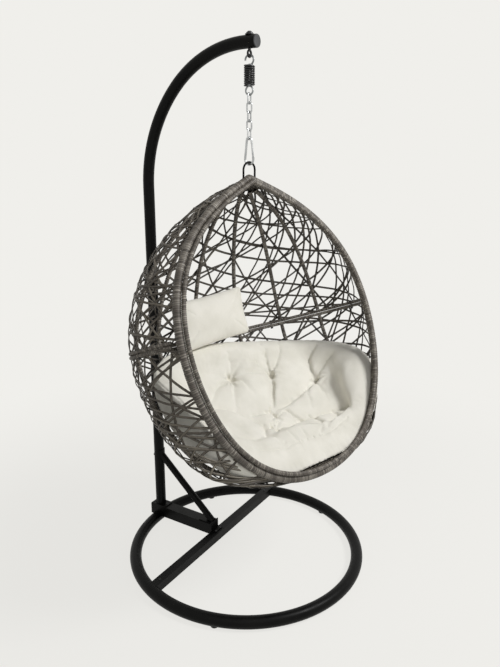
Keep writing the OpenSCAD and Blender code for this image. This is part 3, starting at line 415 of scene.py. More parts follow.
def woundTube(name, paths, radius, stands, seed, relief=winding["relief"], sides=winding["sides"]):
    pitch = winding["strip"]
    rng = random.Random(seed)
    tubes = []
    for path in paths:
        points, run = resample(path, pitch / winding["ringsPerStrip"])
        deselect()
        curve = bpy.data.curves.new(name, "CURVE")
        curve.dimensions = "3D"
        curve.twist_mode = "MINIMUM"
        spline = curve.splines.new("POLY")
        spline.points.add(len(points) - 1)
        spline.points.foreach_set("co", np.concatenate([points, np.ones((len(points), 1))], axis=1).ravel())
        curve.bevel_depth = radius
        curve.bevel_resolution = (sides - 4) // 2
        tube = bpy.data.objects.new(name, curve)
        scene.collection.objects.link(tube)
        pick(tube)
        bpy.ops.object.convert(target="MESH")
        tube = bpy.context.object
        mesh = tube.data
        corners = readPoints(mesh)
        sidesMade = len(corners) // len(points)
        ring = np.arange(len(corners)) // sidesMade
        side = np.arange(len(corners)) % sidesMade
        # Each turn of strip stands proud in its middle; the winding runs as a helix
        start = rng.random() * 10
        wander = winding["wander"] * np.sin(run * winding["wanderRate"] + start * 3)
        wander += winding["waver"] * np.sin(run * winding["waverRate"] + start * 7)
        turns = run / pitch + wander
        proud = np.cos(np.pi * (turns[ring] - side / sidesMade)) ** 2
        tightness = 1 + winding["slack"] * np.sin(run * winding["slackRate"] + start)[ring]
        centre = points[ring]
        corners = centre + (corners - centre) * (1 - relief / radius * tightness * proud ** 2)[:, None]
        writePoints(mesh, corners)
        mapWinding(mesh, turns, sidesMade, radius, int(start * 40))
        tubes.append(tube)
    finishStrips(name, tubes, "wicker", (stands,))


def finishStrips(name, tubes, slot, stands):  # one piece of the basket from many tubes or strips
    deselect()
    for tube in tubes:
        tube.select_set(True)
    bpy.context.view_layer.objects.active = tubes[0]
    if len(tubes) > 1:
        bpy.ops.object.join()
    piece = bpy.context.object
    piece.name = piece.data.name = name
    bpy.ops.object.shade_smooth()
    dress(piece, materials[slot])
    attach(piece, "basket")
    if stands:
        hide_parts(*stands)
    return piece


seam = basket["seamAt"]
seamU = float(findU(0.0, seam))
halfGap = 0.00025


def hoopPath(fromU, toU, offset=0.0, count=160):  # up one side, over or under, and down the other
    u = np.concatenate([np.linspace(fromU, toU, count), np.linspace(toU, fromU, count)[1:]])
    side = np.concatenate([np.ones(count), -np.ones(count - 1)])
    points = np.stack([side * hoopWidth(u), np.zeros(len(u)), -hoopDrop(u)], axis=1)
    if offset:
        tangent = unit(np.gradient(points, axis=0))
        toCentre = np.array([0, 0, -basket["hoopLength"] / 2]) - points
        inner = unit(toCentre - (toCentre * tangent).sum(1, keepdims=True) * tangent)
        points = points + offset * math.sin(math.radians(45)) * (inner + np.array([0, -1.0, 0]))
    return points


def clipDrop(path, low, high):  # the part of a path between two drops, with its ends exactly on them
    kept = []
    for before, after in zip(path, path[1:]):
        if low <= -before[2] <= high:
            kept.append(before)
        for limit in (low, high):
            if (-before[2] - limit) * (-after[2] - limit) < 0:
                kept.append(before + (after - before) * (limit + before[2]) / (before[2] - after[2]))
    if low <= -path[-1][2] <= high:
        kept.append(path[-1])
    return np.array(kept)


hoop = {
    "wrapRadius": 0.0140, "trimRadius": 0.0080, "trimOffset": 0.0223,
    "ribRadius": 0.0080, "barRadius": 0.0065, "barClear": 0.00015,
}
below = 9  # deeper than anything in the basket
upperHoop = placed(clipDrop(hoopPath(seamU, 0.0), 0, seam - halfGap))
lowerHoop = placed(clipDrop(hoopPath(seamU, 1.0), seam + halfGap, below))
upperTrim = placed(clipDrop(hoopPath(seamU + 0.01, 0.0, hoop["trimOffset"]), 0, seam - halfGap))
lowerTrim = placed(clipDrop(hoopPath(seamU - 0.01, 1.0, hoop["trimOffset"]), seam + halfGap, below))
woundTube("hoopWindingUpper", [upperHoop], hoop["wrapRadius"], "hoop_wrap_upper", 11)
woundTube("hoopWindingLower", [lowerHoop], hoop["wrapRadius"], "hoop_wrap_lower", 12)
woundTube("trimWindingUpper", [upperTrim], hoop["trimRadius"], "trim_upper", 13, winding["trimRelief"])
woundTube("trimWindingLower", [lowerTrim], hoop["trimRadius"], "trim_lower", 14, winding["trimRelief"])
print("hoop wound")

ribs = {"count": 6, "step": 0.105, "depth": 0.0213, "offSeam": 0.0133, "offPeak": 0.070, "offFoot": 0.112}
bottom = (0, 0, -basket["hoopLength"])


def ribPath(v, fromU, toU, low, high):
    return clipDrop(inward(egg(np.linspace(fromU, toU, 120), v), ribs["depth"]), low, high)


def outsideBall(path, centre, radius):
    return path[np.linalg.norm(path - np.array(centre), axis=1) > radius]


ribLines = [0.5 + (k - (ribs["count"] - 1) / 2) * ribs["step"] for k in range(ribs["count"])]
upperRibs, lowerRibs = [], []
for v in ribLines:
    upperPath = ribPath(v, 0.03, seamU + 0.1, 0, seam - ribs["offSeam"])
    lowerPath = ribPath(v, seamU - 0.1, 0.97, seam + ribs["offSeam"], below)
    upperRibs.append(placed(outsideBall(upperPath, (0, 0, 0), ribs["offPeak"])))
    lowerRibs.append(placed(outsideBall(lowerPath, bottom, ribs["offFoot"])))
woundTube("ribWindingUpper", upperRibs, hoop["ribRadius"], "ribs_upper", 21, sides=winding["ribSides"])
woundTube("ribWindingLower", lowerRibs, hoop["ribRadius"], "ribs_lower", 22, sides=winding["ribSides"])


def barPath(drop):
    v = np.linspace(0.0, 1.0, 140)
    path = inward(egg(findU(v, drop), v), hoop["barRadius"])
    path[:, 2] = -drop
    return path[3:-3]


for name, side, stands, seed in (("seamBarWindingUpper", -1, "seam_bar_upper", 23),
                                 ("seamBarWindingLower", 1, "seam_bar_lower", 24)):
    bar = placed(barPath(seam + side * (hoop["barRadius"] + hoop["barClear"])))
    woundTube(name, [bar], hoop["barRadius"], stands, seed, sides=winding["ribSides"])
print("ribs and seam bars wound")


# Flat strip of the open weave and of the plaited caps.
# crown, edge, wall and middle are shares of its thickness
strips = {
    "width": 0.0078, "thick": 0.0032, "step": 0.013, "fewest": 12, "most": 96,
    "crown": 0.5, "edge": 0.22, "wall": 0.72, "middle": 0.14,
}


def stripBlank(count):
    deselect()
    bpy.ops.mesh.primitive_grid_add(x_subdivisions=count, y_subdivisions=2, size=1.0, location=(0, 0, 0))
    blank = bpy.context.object
    points = readPoints(blank.data)
    points[:, 2] = np.where(np.abs(points[:, 1]) < 0.1, strips["crown"], strips["edge"])
    writePoints(blank.data, points)
    thick = blank.modifiers.new("Solidify", "SOLIDIFY")
    thick.thickness = strips["wall"]
    thick.offset = -1
    applyAll(blank)
    return blank


blanks = {}


def bentStrip(path, normals, number, width, thick):
    length = float(np.linalg.norm(np.diff(path, axis=0), axis=1).sum())
    count = strips["fewest"]
    while count < strips["most"] and length / count > strips["step"]:
        count *= 2
    if count not in blanks:
        blanks[count] = stripBlank(count)
    blank = blanks[count]
    mesh = blank.data.copy()
    points = readPoints(mesh)
    run = np.linspace(0, 1, len(path))
    place = points[:, 0] + 0.5
    middleLine = np.stack([np.interp(place, run, path[:, k]) for k in range(3)], axis=1)
    up = unit(np.stack([np.interp(place, run, normals[:, k]) for k in range(3)], axis=1))
    slope = np.gradient(path, axis=0)
    ahead = unit(np.stack([np.interp(place, run, slope[:, k]) for k in range(3)], axis=1))
    acrossWay = unit(np.cross(up, ahead))
    up = np.cross(ahead, acrossWay)
    lift = (points[:, 2:3] - strips["middle"]) * thick
    writePoints(mesh, middleLine + acrossWay * (points[:, 1:2] * width) + up * lift)
    layer = mesh.uv_layers[0]
    layer.name = "stripRun"
    flat = np.empty(len(mesh.loops) * 2)
    layer.data.foreach_get("uv", flat)
    flat = flat.reshape(-1, 2)
    across, along = number + 0.01 + 0.98 * flat[:, 1], flat[:, 0] * length + 0.37 * (number % 7)
    layer.data.foreach_set("uv", np.stack([across, along], axis=1).ravel())
    strip = bpy.data.objects.new("strip", mesh)
    scene.collection.objects.link(strip)
    return strip


def eggNormals(u, v):
    step = 0.004
    down = egg(np.clip(u + step, 0, 1), v) - egg(np.clip(u - step, 0, 1), v)
    sideways = egg(u, np.clip(v + step, 0, 1)) - egg(u, np.clip(v - step, 0, 1))
    normals = unit(np.cross(sideways, down))
    points = egg(u, v)
    flip = np.sign(((points - middle) * normals).sum(1, keepdims=True))
    return normals * np.where(flip == 0, 1, flip)


# Four families of strip: two near level, leaning left and right, and two steep ones.
# gap is between strips and rise their slope, both as shares of u and v
openWeave = {
    "wander": 0.0030, "wanderRun": 0.21, "ripple": 0.0015, "rippleRun": 0.093,
    "shortest": 0.05, "under": 0.0012, "layer": 0.0009, "ends": 0.012, "offSeam": 0.006,
    "families": [
        {"level": True, "gap": 0.033, "rise": (0.22, 0.46), "bow": 0.025},
        {"level": True, "gap": 0.033, "rise": (-0.46, -0.22), "bow": 0.025},
        {"level": False, "gap": 0.050, "rise": (0.74, 1.02), "bow": 0.03},
        {"level": False, "gap": 0.105, "rise": (-0.52, -0.30), "bow": 0.03},
    ],
}


def weaveLines(rng):
    lines, run = [], np.linspace(0, 1, 240)
    for number, family in enumerate(openWeave["families"]):
        place = -0.55
        while place < 1.55:
            rise, bow = rng.uniform(*family["rise"]), rng.uniform(-1, 1) * family["bow"]
            other = place + rise * (run - 0.5) + bow * np.sin(np.pi * run)
            lines.append((other, run, number) if family["level"] else (run, other, number))
            place += family["gap"] * rng.uniform(0.7, 1.3)
    return lines


def openPiece(name, low, high, ballCentre, ballRadius, stands, seed):  # the ball is left to the plaiting
    rng = random.Random(seed)
    made = []
    for number, (u, v, family) in enumerate(weaveLines(rng)):
        inside = (u > openWeave["ends"]) & (u < 1 - openWeave["ends"]) & (v >= 0.0) & (v <= 1.0)
        u, v = u[inside], v[inside]
        if len(u) < 8:
            continue
        points = egg(u, v)
        keep = (-points[:, 2] > low) & (-points[:, 2] < high)
        keep &= np.linalg.norm(points - np.array(ballCentre), axis=1) > ballRadius
        # The longest unbroken stretch is the strip
        best, start = (0, 0), None
        for i, good in enumerate(list(keep) + [False]):
            if good and start is None:
                start = i
            if not good and start is not None:
                if i - start > best[1] - best[0]:
                    best = (start, i)
                start = None
        u, v = u[best[0]:best[1]], v[best[0]:best[1]]
        if len(u) < 6:
            continue
        points, normals = egg(u, v), eggNormals(u, v)
        run = runAlong(points)
        if run[-1] < openWeave["shortest"]:
            continue
        ahead = unit(np.gradient(points, axis=0))
        sideways = unit(np.cross(normals, ahead))
        turnAt = rng.uniform(0, 6.28)
        wave = openWeave["wander"] * np.sin(run / openWeave["wanderRun"] + turnAt)
        layer = -openWeave["under"] - openWeave["layer"] * family
        ripple = openWeave["ripple"] * np.sin(run / openWeave["rippleRun"] * 6.283 + turnAt * 2)
        path = points + sideways * wave[:, None] + normals * (layer + ripple)[:, None]
        width = strips["width"] * rng.uniform(0.9, 1.1)
        made.append(bentStrip(placed(path), normals @ placing.T, number + 1, width, strips["thick"]))
    piece = finishStrips(name, made, "wicker_open", (stands,))
    print(name, len(made), "strips", len(piece.data.polygons), "faces")


openPiece("openWeaveUpper", 0.0, seam - openWeave["offSeam"], (0, 0, 0), 0.066, "weave_upper", 5)
openPiece("openWeaveLower", seam + openWeave["offSeam"], below, bottom, 0.105, "weave_lower", 6)

# Close plaiting over the peak cap and the foot patch: two crossing layers on the outer and the inner face
plait = {
    "pitch": 0.0085, "ripple": 0.0011, "thick": 0.0022, "outer": 0.0003, "inner": 0.0168,
    "widthShare": 0.9, "samples": 70, "offShell": 0.0035, "offHoop": 0.010, "offEdge": 0.002,
}


def plaitPiece(name, centre, radius, fromU, toU, seed):
    rng = random.Random(seed)
    gridU, gridV = np.meshgrid(np.linspace(fromU, toU, 150), np.linspace(0, 1, 220), indexing="ij")
    surface = egg(gridU.ravel(), gridV.ravel())
    normals = eggNormals(gridU.ravel(), gridV.ravel())
    made, number = [], 0
    for depth, outerSide in ((plait["outer"], 1), (plait["inner"], -1)):
        shell = inward(surface, depth)
        around = np.linalg.norm(shell - np.array(centre), axis=1) < radius + 0.02
        shell, facing = shell[around], normals[around]
        for direction in (0, 1):
            offset = -radius
            while offset < radius:
                offset += plait["pitch"] * rng.uniform(0.92, 1.12)
                number += 1
                other = np.linspace(-radius, radius, plait["samples"])
                level = np.full(plait["samples"], offset)
                flat = np.stack([other, level] if direction == 0 else [level, other], axis=1)
                gaps = ((flat[:, None, :] - shell[None, :, :2]) ** 2).sum(2)
                near = np.argpartition(gaps, 4, axis=1)[:, :4]
                weight = 1 / (np.take_along_axis(gaps, near, 1) + 1e-8)
                weight /= weight.sum(1, keepdims=True)
                points = (shell[near] * weight[..., None]).sum(1)
                up = unit((facing[near] * weight[..., None]).sum(1)) * outerSide
                keep = (gaps.min(1) < plait["offShell"] ** 2) & (points[:, 1] > plait["offHoop"])
                keep &= np.linalg.norm(points - np.array(centre), axis=1) < radius - plait["offEdge"]
                if keep.sum() < 5:
                    continue
                first, last = np.flatnonzero(keep)[[0, -1]]
                points, up = points[first:last + 1], up[first:last + 1]
                run = runAlong(points)
                ripple = plait["ripple"] * np.sin(run / plait["pitch"] * math.pi + number * math.pi)
                path = points + up * ripple[:, None]
                width = plait["pitch"] * plait["widthShare"]
                made.append(bentStrip(placed(path), up @ placing.T, number, width, plait["thick"]))
    piece = finishStrips(name, made, "wicker_dense", ())
    print(name, len(made), "strips", len(piece.data.polygons), "faces")


plaitPiece("peakPlaiting", (0, 0, 0), 0.079, 0.0, 0.16, 31)
plaitPiece("footPlaiting", bottom, 0.121, 0.80, 1.0, 32)
for blank in blanks.values():
    bpy.data.objects.remove(blank)
print("weave made")

# The plaited cores keep their solids under the plaiting; their colour is that of strip in deep shade
core = {
    "name": "plaitedRattanCore", "dark": "#1d1915", "light": "#3a352d",
    "rough": 0.7, "grain": 6.0, "bump": 0.5, "metal": 0.0,
}
coreMaterial = hardMaterial(core)
for name in ("peak_cap", "foot_patch"):
    dress(nodes[name], coreMaterial)


# The spring is one unbroken coil that stretches between the two hook fittings
springForm = {
    "x": 0.0, "y": -0.009, "meanRadius": 0.0158, "wire": 0.0032,
    "turns": 9.5, "pitch": 0.0069, "perTurn": 32, "endsIn": 0.004,
}


def coilSpring():
    form = springForm
    low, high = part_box("spring")
    curve = bpy.data.curves.new("coilSpring", "CURVE")
    curve.dimensions = "3D"
    count = int(form["turns"] * form["perTurn"])
    spline = curve.splines.new("POLY")
    spline.points.add(count)
    top = high[2] - form["wire"]
    for i in range(count + 1):
        angle = 2 * math.pi * i / form["perTurn"]
        x = form["x"] + form["meanRadius"] * math.cos(angle)
        y = form["y"] + form["meanRadius"] * math.sin(angle)
        spline.points[i].co = (x, y, top - form["pitch"] * i / form["perTurn"], 1)
    curve.bevel_depth = form["wire"]
    curve.bevel_resolution = 5
    curve.use_fill_caps = True
    piece = bpy.data.objects.new("coilSpring", curve)
    scene.collection.objects.link(piece)
    pick(piece)
    bpy.ops.object.convert(target="MESH")
    piece = bpy.context.object
    bpy.ops.object.shade_smooth()
    dress(piece, materials["spring_steel"])
    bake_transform(piece)
    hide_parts("spring")


coilSpring()
print("spring made")


# Cushions are cloth blown up over a cut form, then knotted, creased and seamed.
# Places on the seat are (u, v) on the egg, and lengths are in metres
seat = {
    "thick": 0.104, "lip": 0.050, "tuftDepth": 0.066, "tuftReach": 0.095, "endU": 0.978, "half": 0.455,
    "clear": 0.0368, "frontCloser": 0.017, "seamLift": 0.026, "deepest": 0.80,
    "corners": {"topRight": 0.38, "topLeft": 0.50, "footRight": 0.24, "footLeft": 0.38},
    # The upper edge over the seam, all in u: its rise behind the back and its fall at both ends
    "overSeam": 0.006, "backRise": 0.024, "rightFall": 0.12, "leftFall": 0.06,
    "roll": 0.046, "rollAt": 0.80, "rollWidth": 0.13,
    # Fuller and thinner places: u, v and the width along each
    "hollow": 0.018, "hollowAt": (0.812, 0.455, 0.060, 0.110),
    "leftThick": 0.034, "leftAt": (0.79, 0.74, 0.13, 0.11),
    "lobeThick": 0.024, "lobeForward": 0.030, "lobeAt": (0.69, 0.12, 0.13, 0.10),
    "tufts": [(0.631, 0.562), (0.651, 0.421), (0.695, 0.310), (0.774, 0.493), (0.834, 0.529), (0.690, 0.670)],
    "voxel": 0.0060, "shrink": 0.003, "swell": 0.007, "foldShare": 0.22, "foldReach": 0.015,
    "rimStitch": {"depth": 0.0035, "width": 0.0042, "pucker": 0.0006, "run": 0.031},
    "frontStitch": {"depth": 0.0030, "width": 0.0040, "pucker": 0.0006, "run": 0.037},
}
knotForm = {
    "reach": 0.09, "pit": 0.010, "pitWidth": 0.012,
    "folds": 7, "foldDepth": 0.0035, "foldAt": 0.026, "foldWidth": 0.018,
}


def seatTopU(v):  # the seat's upper edge, higher behind the back and lower at both ends
    raised = seat["backRise"] * np.exp(-((v - 0.60) / 0.13) ** 2)
    rightEnd = seat["rightFall"] * np.maximum(0, (0.5 - v) / 0.44) ** 1.2
    leftEnd = seat["leftFall"] * np.maximum(0, (v - 0.6) / 0.34) ** 1.5
    return seamU + seat["overSeam"] - raised + rightEnd + leftEnd


def rounded(value, power):
    return np.sign(value) * np.abs(value) ** power


def seatUv(r, a):  # r from the middle to the rim, a round it
    across, down, corners = np.cos(a), np.sin(a), seat["corners"]
    foot = np.where(across < 0, corners["footRight"], corners["footLeft"])
    power = np.where(down > 0, foot, np.where(across < 0, corners["topRight"], corners["topLeft"]))
    v = 0.5 + r * rounded(across, power) * seat["half"]
    start = seatTopU(v)
    return (start + seat["endU"]) / 2 + r * rounded(down, power) * (seat["endU"] - start) / 2, v


def seatFace(r, a):
    shell = egg(*seatUv(r, a))
    atHoop = np.clip((0.085 - shell[..., 1]) / 0.060, 0, 1)
    lift = seat["seamLift"] * (1 - 0.75 * atHoop) * r ** 8
    return inward(shell, seat["clear"] - seat["frontCloser"] * atHoop + lift)


# Creases of the seat: the places that each runs through, its depth at both ends,
# and how far to either side it draws the cloth in
seatCreases = [
    ([(0.774, 0.493), (0.725, 0.462), (0.690, 0.436), (0.651, 0.421)], (0.055, 0.055), 0.087),
    ([(0.774, 0.493), (0.765, 0.440), (0.742, 0.385), (0.715, 0.340), (0.695, 0.310)], (0.048, 0.055), 0.084),
    ([(0.774, 0.493), (0.805, 0.515), (0.834, 0.529)], (0.052, 0.055), 0.075),
    ([(0.774, 0.493), (0.778, 0.532), (0.770, 0.568)], (0.043, 0.034), 0.060),
    ([(0.834, 0.529), (0.834, 0.480), (0.828, 0.438), (0.826, 0.388),
      (0.829, 0.342), (0.831, 0.305), (0.830, 0.240), (0.845, 0.130)], (0.066, 0.040), 0.088),
    ([(0.834, 0.529), (0.835, 0.545), (0.815, 0.560), (0.777, 0.577),
      (0.745, 0.600), (0.710, 0.630), (0.680, 0.665), (0.655, 0.700)], (0.062, 0.040), 0.088),
    ([(0.774, 0.493), (0.800, 0.465), (0.828, 0.438)], (0.050, 0.064), 0.060),
    ([(0.651, 0.421), (0.600, 0.410), (0.550, 0.400), (0.500, 0.395)], (0.048, 0.019), 0.075),
    ([(0.695, 0.310), (0.650, 0.300), (0.610, 0.285), (0.575, 0.250)], (0.052, 0.039), 0.075),
    ([(0.631, 0.562), (0.650, 0.510), (0.660, 0.460), (0.651, 0.421)], (0.020, 0.020), 0.045),
    ([(0.631, 0.562), (0.690, 0.585), (0.760, 0.612)], (0.029, 0.009), 0.041),
    ([(0.631, 0.562), (0.680, 0.540), (0.730, 0.530)], (0.026, 0.006), 0.039),
    ([(0.631, 0.562), (0.640, 0.620), (0.690, 0.670)], (0.026, 0.026), 0.044),
    ([(0.631, 0.562), (0.580, 0.556), (0.510, 0.550)], (0.029, 0.010), 0.039),
    ([(0.631, 0.562), (0.600, 0.610), (0.565, 0.660)], (0.026, 0.006), 0.039),
    ([(0.631, 0.562), (0.590, 0.520), (0.550, 0.500)], (0.020, 0.004), 0.033),
    ([(0.651, 0.421), (0.620, 0.385), (0.575, 0.355), (0.520, 0.340)], (0.038, 0.017), 0.046),
    ([(0.651, 0.421), (0.610, 0.450), (0.560, 0.462), (0.500, 0.470)], (0.029, 0.012), 0.039),
    ([(0.695, 0.310), (0.655, 0.245), (0.620, 0.190)], (0.041, 0.012), 0.046),
    ([(0.695, 0.310), (0.720, 0.340), (0.770, 0.360), (0.815, 0.365)], (0.029, 0.009), 0.036),
    ([(0.695, 0.310), (0.740, 0.300), (0.800, 0.290)], (0.026, 0.007), 0.036),
    ([(0.832, 0.470), (0.880, 0.460), (0.945, 0.450)], (0.036, 0.021), 0.041),
    ([(0.834, 0.529), (0.880, 0.535), (0.945, 0.560)], (0.040, 0.021), 0.041),
    ([(0.815, 0.560), (0.870, 0.620), (0.940, 0.690)], (0.036, 0.021), 0.044),
    ([(0.827, 0.400), (0.880, 0.365), (0.950, 0.340)], (0.040, 0.026), 0.044),
    ([(0.831, 0.305), (0.880, 0.260), (0.945, 0.220)], (0.036, 0.021), 0.044),
    ([(0.830, 0.240), (0.865, 0.175), (0.900, 0.110)], (0.036, 0.018), 0.044),
    ([(0.690, 0.670), (0.740, 0.690), (0.800, 0.720)], (0.029, 0.009), 0.044),
    ([(0.690, 0.670), (0.660, 0.730), (0.640, 0.790)], (0.029, 0.009), 0.044),
    ([(0.690, 0.670), (0.730, 0.740), (0.760, 0.820)], (0.026, 0.009), 0.044),
]


def creaseLine(through, depth):  # the crease laid on the cushion's underside, with its depth all along
    places = np.array(through)
    run = runAlong(places)
    t = np.linspace(0, run[-1], 70)
    u, v = np.interp(t, run, places[:, 0]), np.interp(t, run, places[:, 1])
    for _ in range(12):  # rounds the corners between the places
        u[1:-1], v[1:-1] = (u[:-2] + 2 * u[1:-1] + u[2:]) / 4, (v[:-2] + 2 * v[1:-1] + v[2:]) / 4
    return inward(egg(u, v), seat["clear"]), np.interp(t, [0, run[-1]], depth)


def drawnIn(share):  # two round swells meet in a sharp valley where share is 0
    return 1 - np.sqrt(1 - (1 - np.minimum(share, 1)) ** 2)


def creaseDrop(u, v):  # how far creases and knots draw the top in; where they meet, the deepest rules
    here = inward(egg(u, v), seat["clear"])
    flat = here.reshape(-1, 3)
    cubes = np.zeros(len(flat))
    for through, ends, reach in seatCreases:
        line, depth = creaseLine(through, ends)
        gaps, places = nearest(flat, line, reach)
        cubes += (depth[places] * drawnIn(gaps / reach)) ** 3
    for tuft in tuftPoints():
        cubes += (seat["tuftDepth"] * drawnIn(np.linalg.norm(flat - tuft, axis=1) / seat["tuftReach"])) ** 3
    return np.cbrt(cubes).reshape(here.shape[:-1])


def tuftPoints():
    places = np.array(seat["tufts"])
    return inward(egg(places[:, 0], places[:, 1]), seat["clear"])


def mound(u, v, place):  # 1 at the place, falling off over its widths
    atU, atV, wideU, wideV = place
    return np.exp(-((u - atU) / wideU) ** 2 - ((v - atV) / wideV) ** 2)


def seatThick(r, a):
    u, v = seatUv(r, a)
    atFront = np.clip((np.sin(a) + 0.45) / 0.6, 0, 1)
    full = seat["thick"] + seat["roll"] * np.exp(-((r - seat["rollAt"]) / seat["rollWidth"]) ** 2) * atFront
    full += seat["leftThick"] * mound(u, v, seat["leftAt"]) - seat["hollow"] * mound(u, v, seat["hollowAt"])
    full += seat["lobeThick"] * mound(u, v, seat["lobeAt"])
    full *= np.sqrt(np.maximum(0, 1 - r ** 9))
    most = full * seat["deepest"] + 1e-9  # no crease goes through to the underside
    return full - most * np.tanh(creaseDrop(u, v) / most) * (1 - r ** 10)


def lipSwell(r, a):  # the rim and the right lobe bulge forward over the hoop
    allRound = np.where(np.sin(a) > 0, 1, 0.2 + 0.8 * np.abs(np.cos(a)) ** 0.8)
    rim = seat["lip"] * (r ** 4 - 0.55 * r ** 12) * allRound
    return rim + seat["lobeForward"] * mound(*seatUv(r, a), seat["lobeAt"]) * r ** 3


def backward(amount):  # a move toward the back of the basket
    return np.stack([0 * amount, amount, 0 * amount], axis=-1)


def seatTop(r, a):
    return inward(seatFace(r, a), np.maximum(0.004, seatThick(r, a)) * (r < 1)) - backward(lipSwell(r, a))


def seatBase(r, a):
    return seatFace(r, a) - backward(lipSwell(r, a) * r ** 6)


def nearest(points, line, reach=None):  # distance of each point to a line of points, and the place along it
    gaps, places = np.full(len(points), 9.0), np.zeros(len(points), dtype=np.int64)
    near = np.arange(len(points))
    if reach:
        near = np.flatnonzero(((points > line.min(0) - reach) & (points < line.max(0) + reach)).all(1))
    batch = max(1, 1500000 // len(line))
    for start in range(0, len(near), batch):
        some = near[start:start + batch]
        squares = (points[some] ** 2).sum(1)[:, None] + (line ** 2).sum(1) - 2 * points[some] @ line.T
        found = squares.argmin(1)
        places[some] = found
        gaps[some] = np.sqrt(np.maximum(squares[np.arange(len(some)), found], 0))
    return gaps, places


def keepOff(points, line, radius, way=None):  # moves points out of a tube, straight out or along one way
    gaps, places = nearest(points, line, radius)
    inside = np.flatnonzero(gaps < radius)
    offset = points[inside] - line[places[inside]]
    if way is None:
        points[inside] = line[places[inside]] + unit(offset) * radius
        return points
    toward = unit(way - points[inside])
    along = (offset * toward).sum(1)
    off = np.sqrt(np.maximum(0, radius ** 2 - (offset ** 2).sum(1) + along ** 2))
    points[inside] += toward * (off - along)[:, None]
    return points


def vertexNormals(mesh):
    normals = np.empty(len(mesh.vertices) * 3)
    mesh.vertices.foreach_get("normal", normals)
    return normals.reshape(-1, 3)


clothWork = {
    "quality": 4, "mass": 0.3, "tension_stiffness": 18, "compression_stiffness": 14, "shear_stiffness": 8,
    "bending_stiffness": 2.5, "use_pressure": True, "uniform_pressure_force": 4.0,
}
clothSteps = 14


def puff(piece, settings, heldAt):  # blows the cut form up as cloth, held along its creases, knots and rim
    pick(piece)
    mesh = piece.data
    writePoints(mesh, readPoints(mesh) - vertexNormals(mesh) * settings["shrink"])
    remesh = piece.modifiers.new("Remesh", "REMESH")
    remesh.mode = "VOXEL"
    remesh.voxel_size = settings["voxel"]
    remesh.use_smooth_shade = True
    applyAll(piece)
    start = readPoints(piece.data)
    gaps, _ = nearest(start, heldAt)
    held = piece.vertex_groups.new(name="held")
    held.add([int(i) for i in np.flatnonzero(gaps < settings["voxel"] * 1.6)], 1.0, "REPLACE")
    cloth = piece.modifiers.new("Cloth", "CLOTH")
    for name, value in clothWork.items():
        setattr(cloth.settings, name, value)
    cloth.settings.vertex_group_mass = "held"
    cloth.settings.effector_weights.gravity = 0
    cloth.collision_settings.use_collision = False
    cloth.point_cache.frame_start, cloth.point_cache.frame_end = 1, clothSteps + 2
    for step in range(1, clothSteps + 1):
        scene.frame_set(step)
    applyAll(piece)
    scene.frame_set(1)
    shift = readPoints(piece.data) - start
    size = np.linalg.norm(shift, axis=1, keepdims=True)
    writePoints(piece.data, start + shift * np.minimum(1, settings["swell"] / np.maximum(size, 1e-9)))
    piece.vertex_groups.clear()
    finer = piece.modifiers.new("Subdivision", "SUBSURF")
    finer.levels = finer.render_levels = 1
    applyAll(piece)


def settle(points, times, mesh):  # evens out a mesh by its edges
    edges = np.empty(len(mesh.edges) * 2, dtype=np.int64)
    mesh.edges.foreach_get("vertices", edges)
    edges = edges.reshape(-1, 2)
    count = np.bincount(edges.ravel(), minlength=len(points))[:, None]
    for _ in range(times):
        total = np.zeros_like(points)
        np.add.at(total, edges[:, 0], points[edges[:, 1]])
        np.add.at(total, edges[:, 1], points[edges[:, 0]])
        points = points + 0.5 * (total / np.maximum(count, 1) - points)
    return points


def laidOn(points, line):  # the line moved onto the surface that the points make
    close = points[((points > line.min(0) - 0.06) & (points < line.max(0) + 0.06)).all(1)]
    laid = close[nearest(line, close)[1]]
    for _ in range(3 if len(line) > 20 else 0):
        laid[1:-1] = (laid[:-2] + laid[1:-1] * 2 + laid[2:]) / 4
    return laid


def carve(points, normals, line, depth, reach):  # a sharp crease along a line already laid on the surface
    gaps, places = nearest(points, line, reach)
    return points - normals * (np.broadcast_to(depth, len(line))[places] * drawnIn(gaps / reach))[:, None]


def stitchLine(points, normals, line, stitch):  # a seam drawn in, with small gathers along it
    laid = laidOn(points, line)
    gaps, places = nearest(points, laid, 0.06)
    length = runAlong(laid)[places]
    near = np.exp(-(gaps / stitch["width"]) ** 2)
    gathers = stitch["pucker"] * np.sin(length / stitch["run"] * 6.283 + 1.3 * np.sin(length * 23))
    gathers *= np.exp(-(gaps / 0.024) ** 2) * (1 - near)
    return points - normals * (stitch["depth"] * near + gathers)[:, None]


def clearOfTubes(points):  # the trim presses into the cloth, and the cloth lies inside hoop and ribs
    for paths, radius, way in (([upperHoop, lowerHoop], hoop["wrapRadius"], placed(middle)),
                               ([upperTrim, lowerTrim], hoop["trimRadius"], None),
                               (lowerRibs, hoop["ribRadius"], placed(middle))):
        line = np.concatenate([resample(path, 0.004)[0] for path in paths])
        points = keepOff(points, line, radius + 0.0012, way)
    return points


def finishCushion(piece, stands):
    pick(piece)
    bpy.ops.object.shade_smooth_by_angle(angle=math.radians(75))
    dress(piece, materials["cushion_cloth"])
    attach(piece, "basket")
    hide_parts(stands)


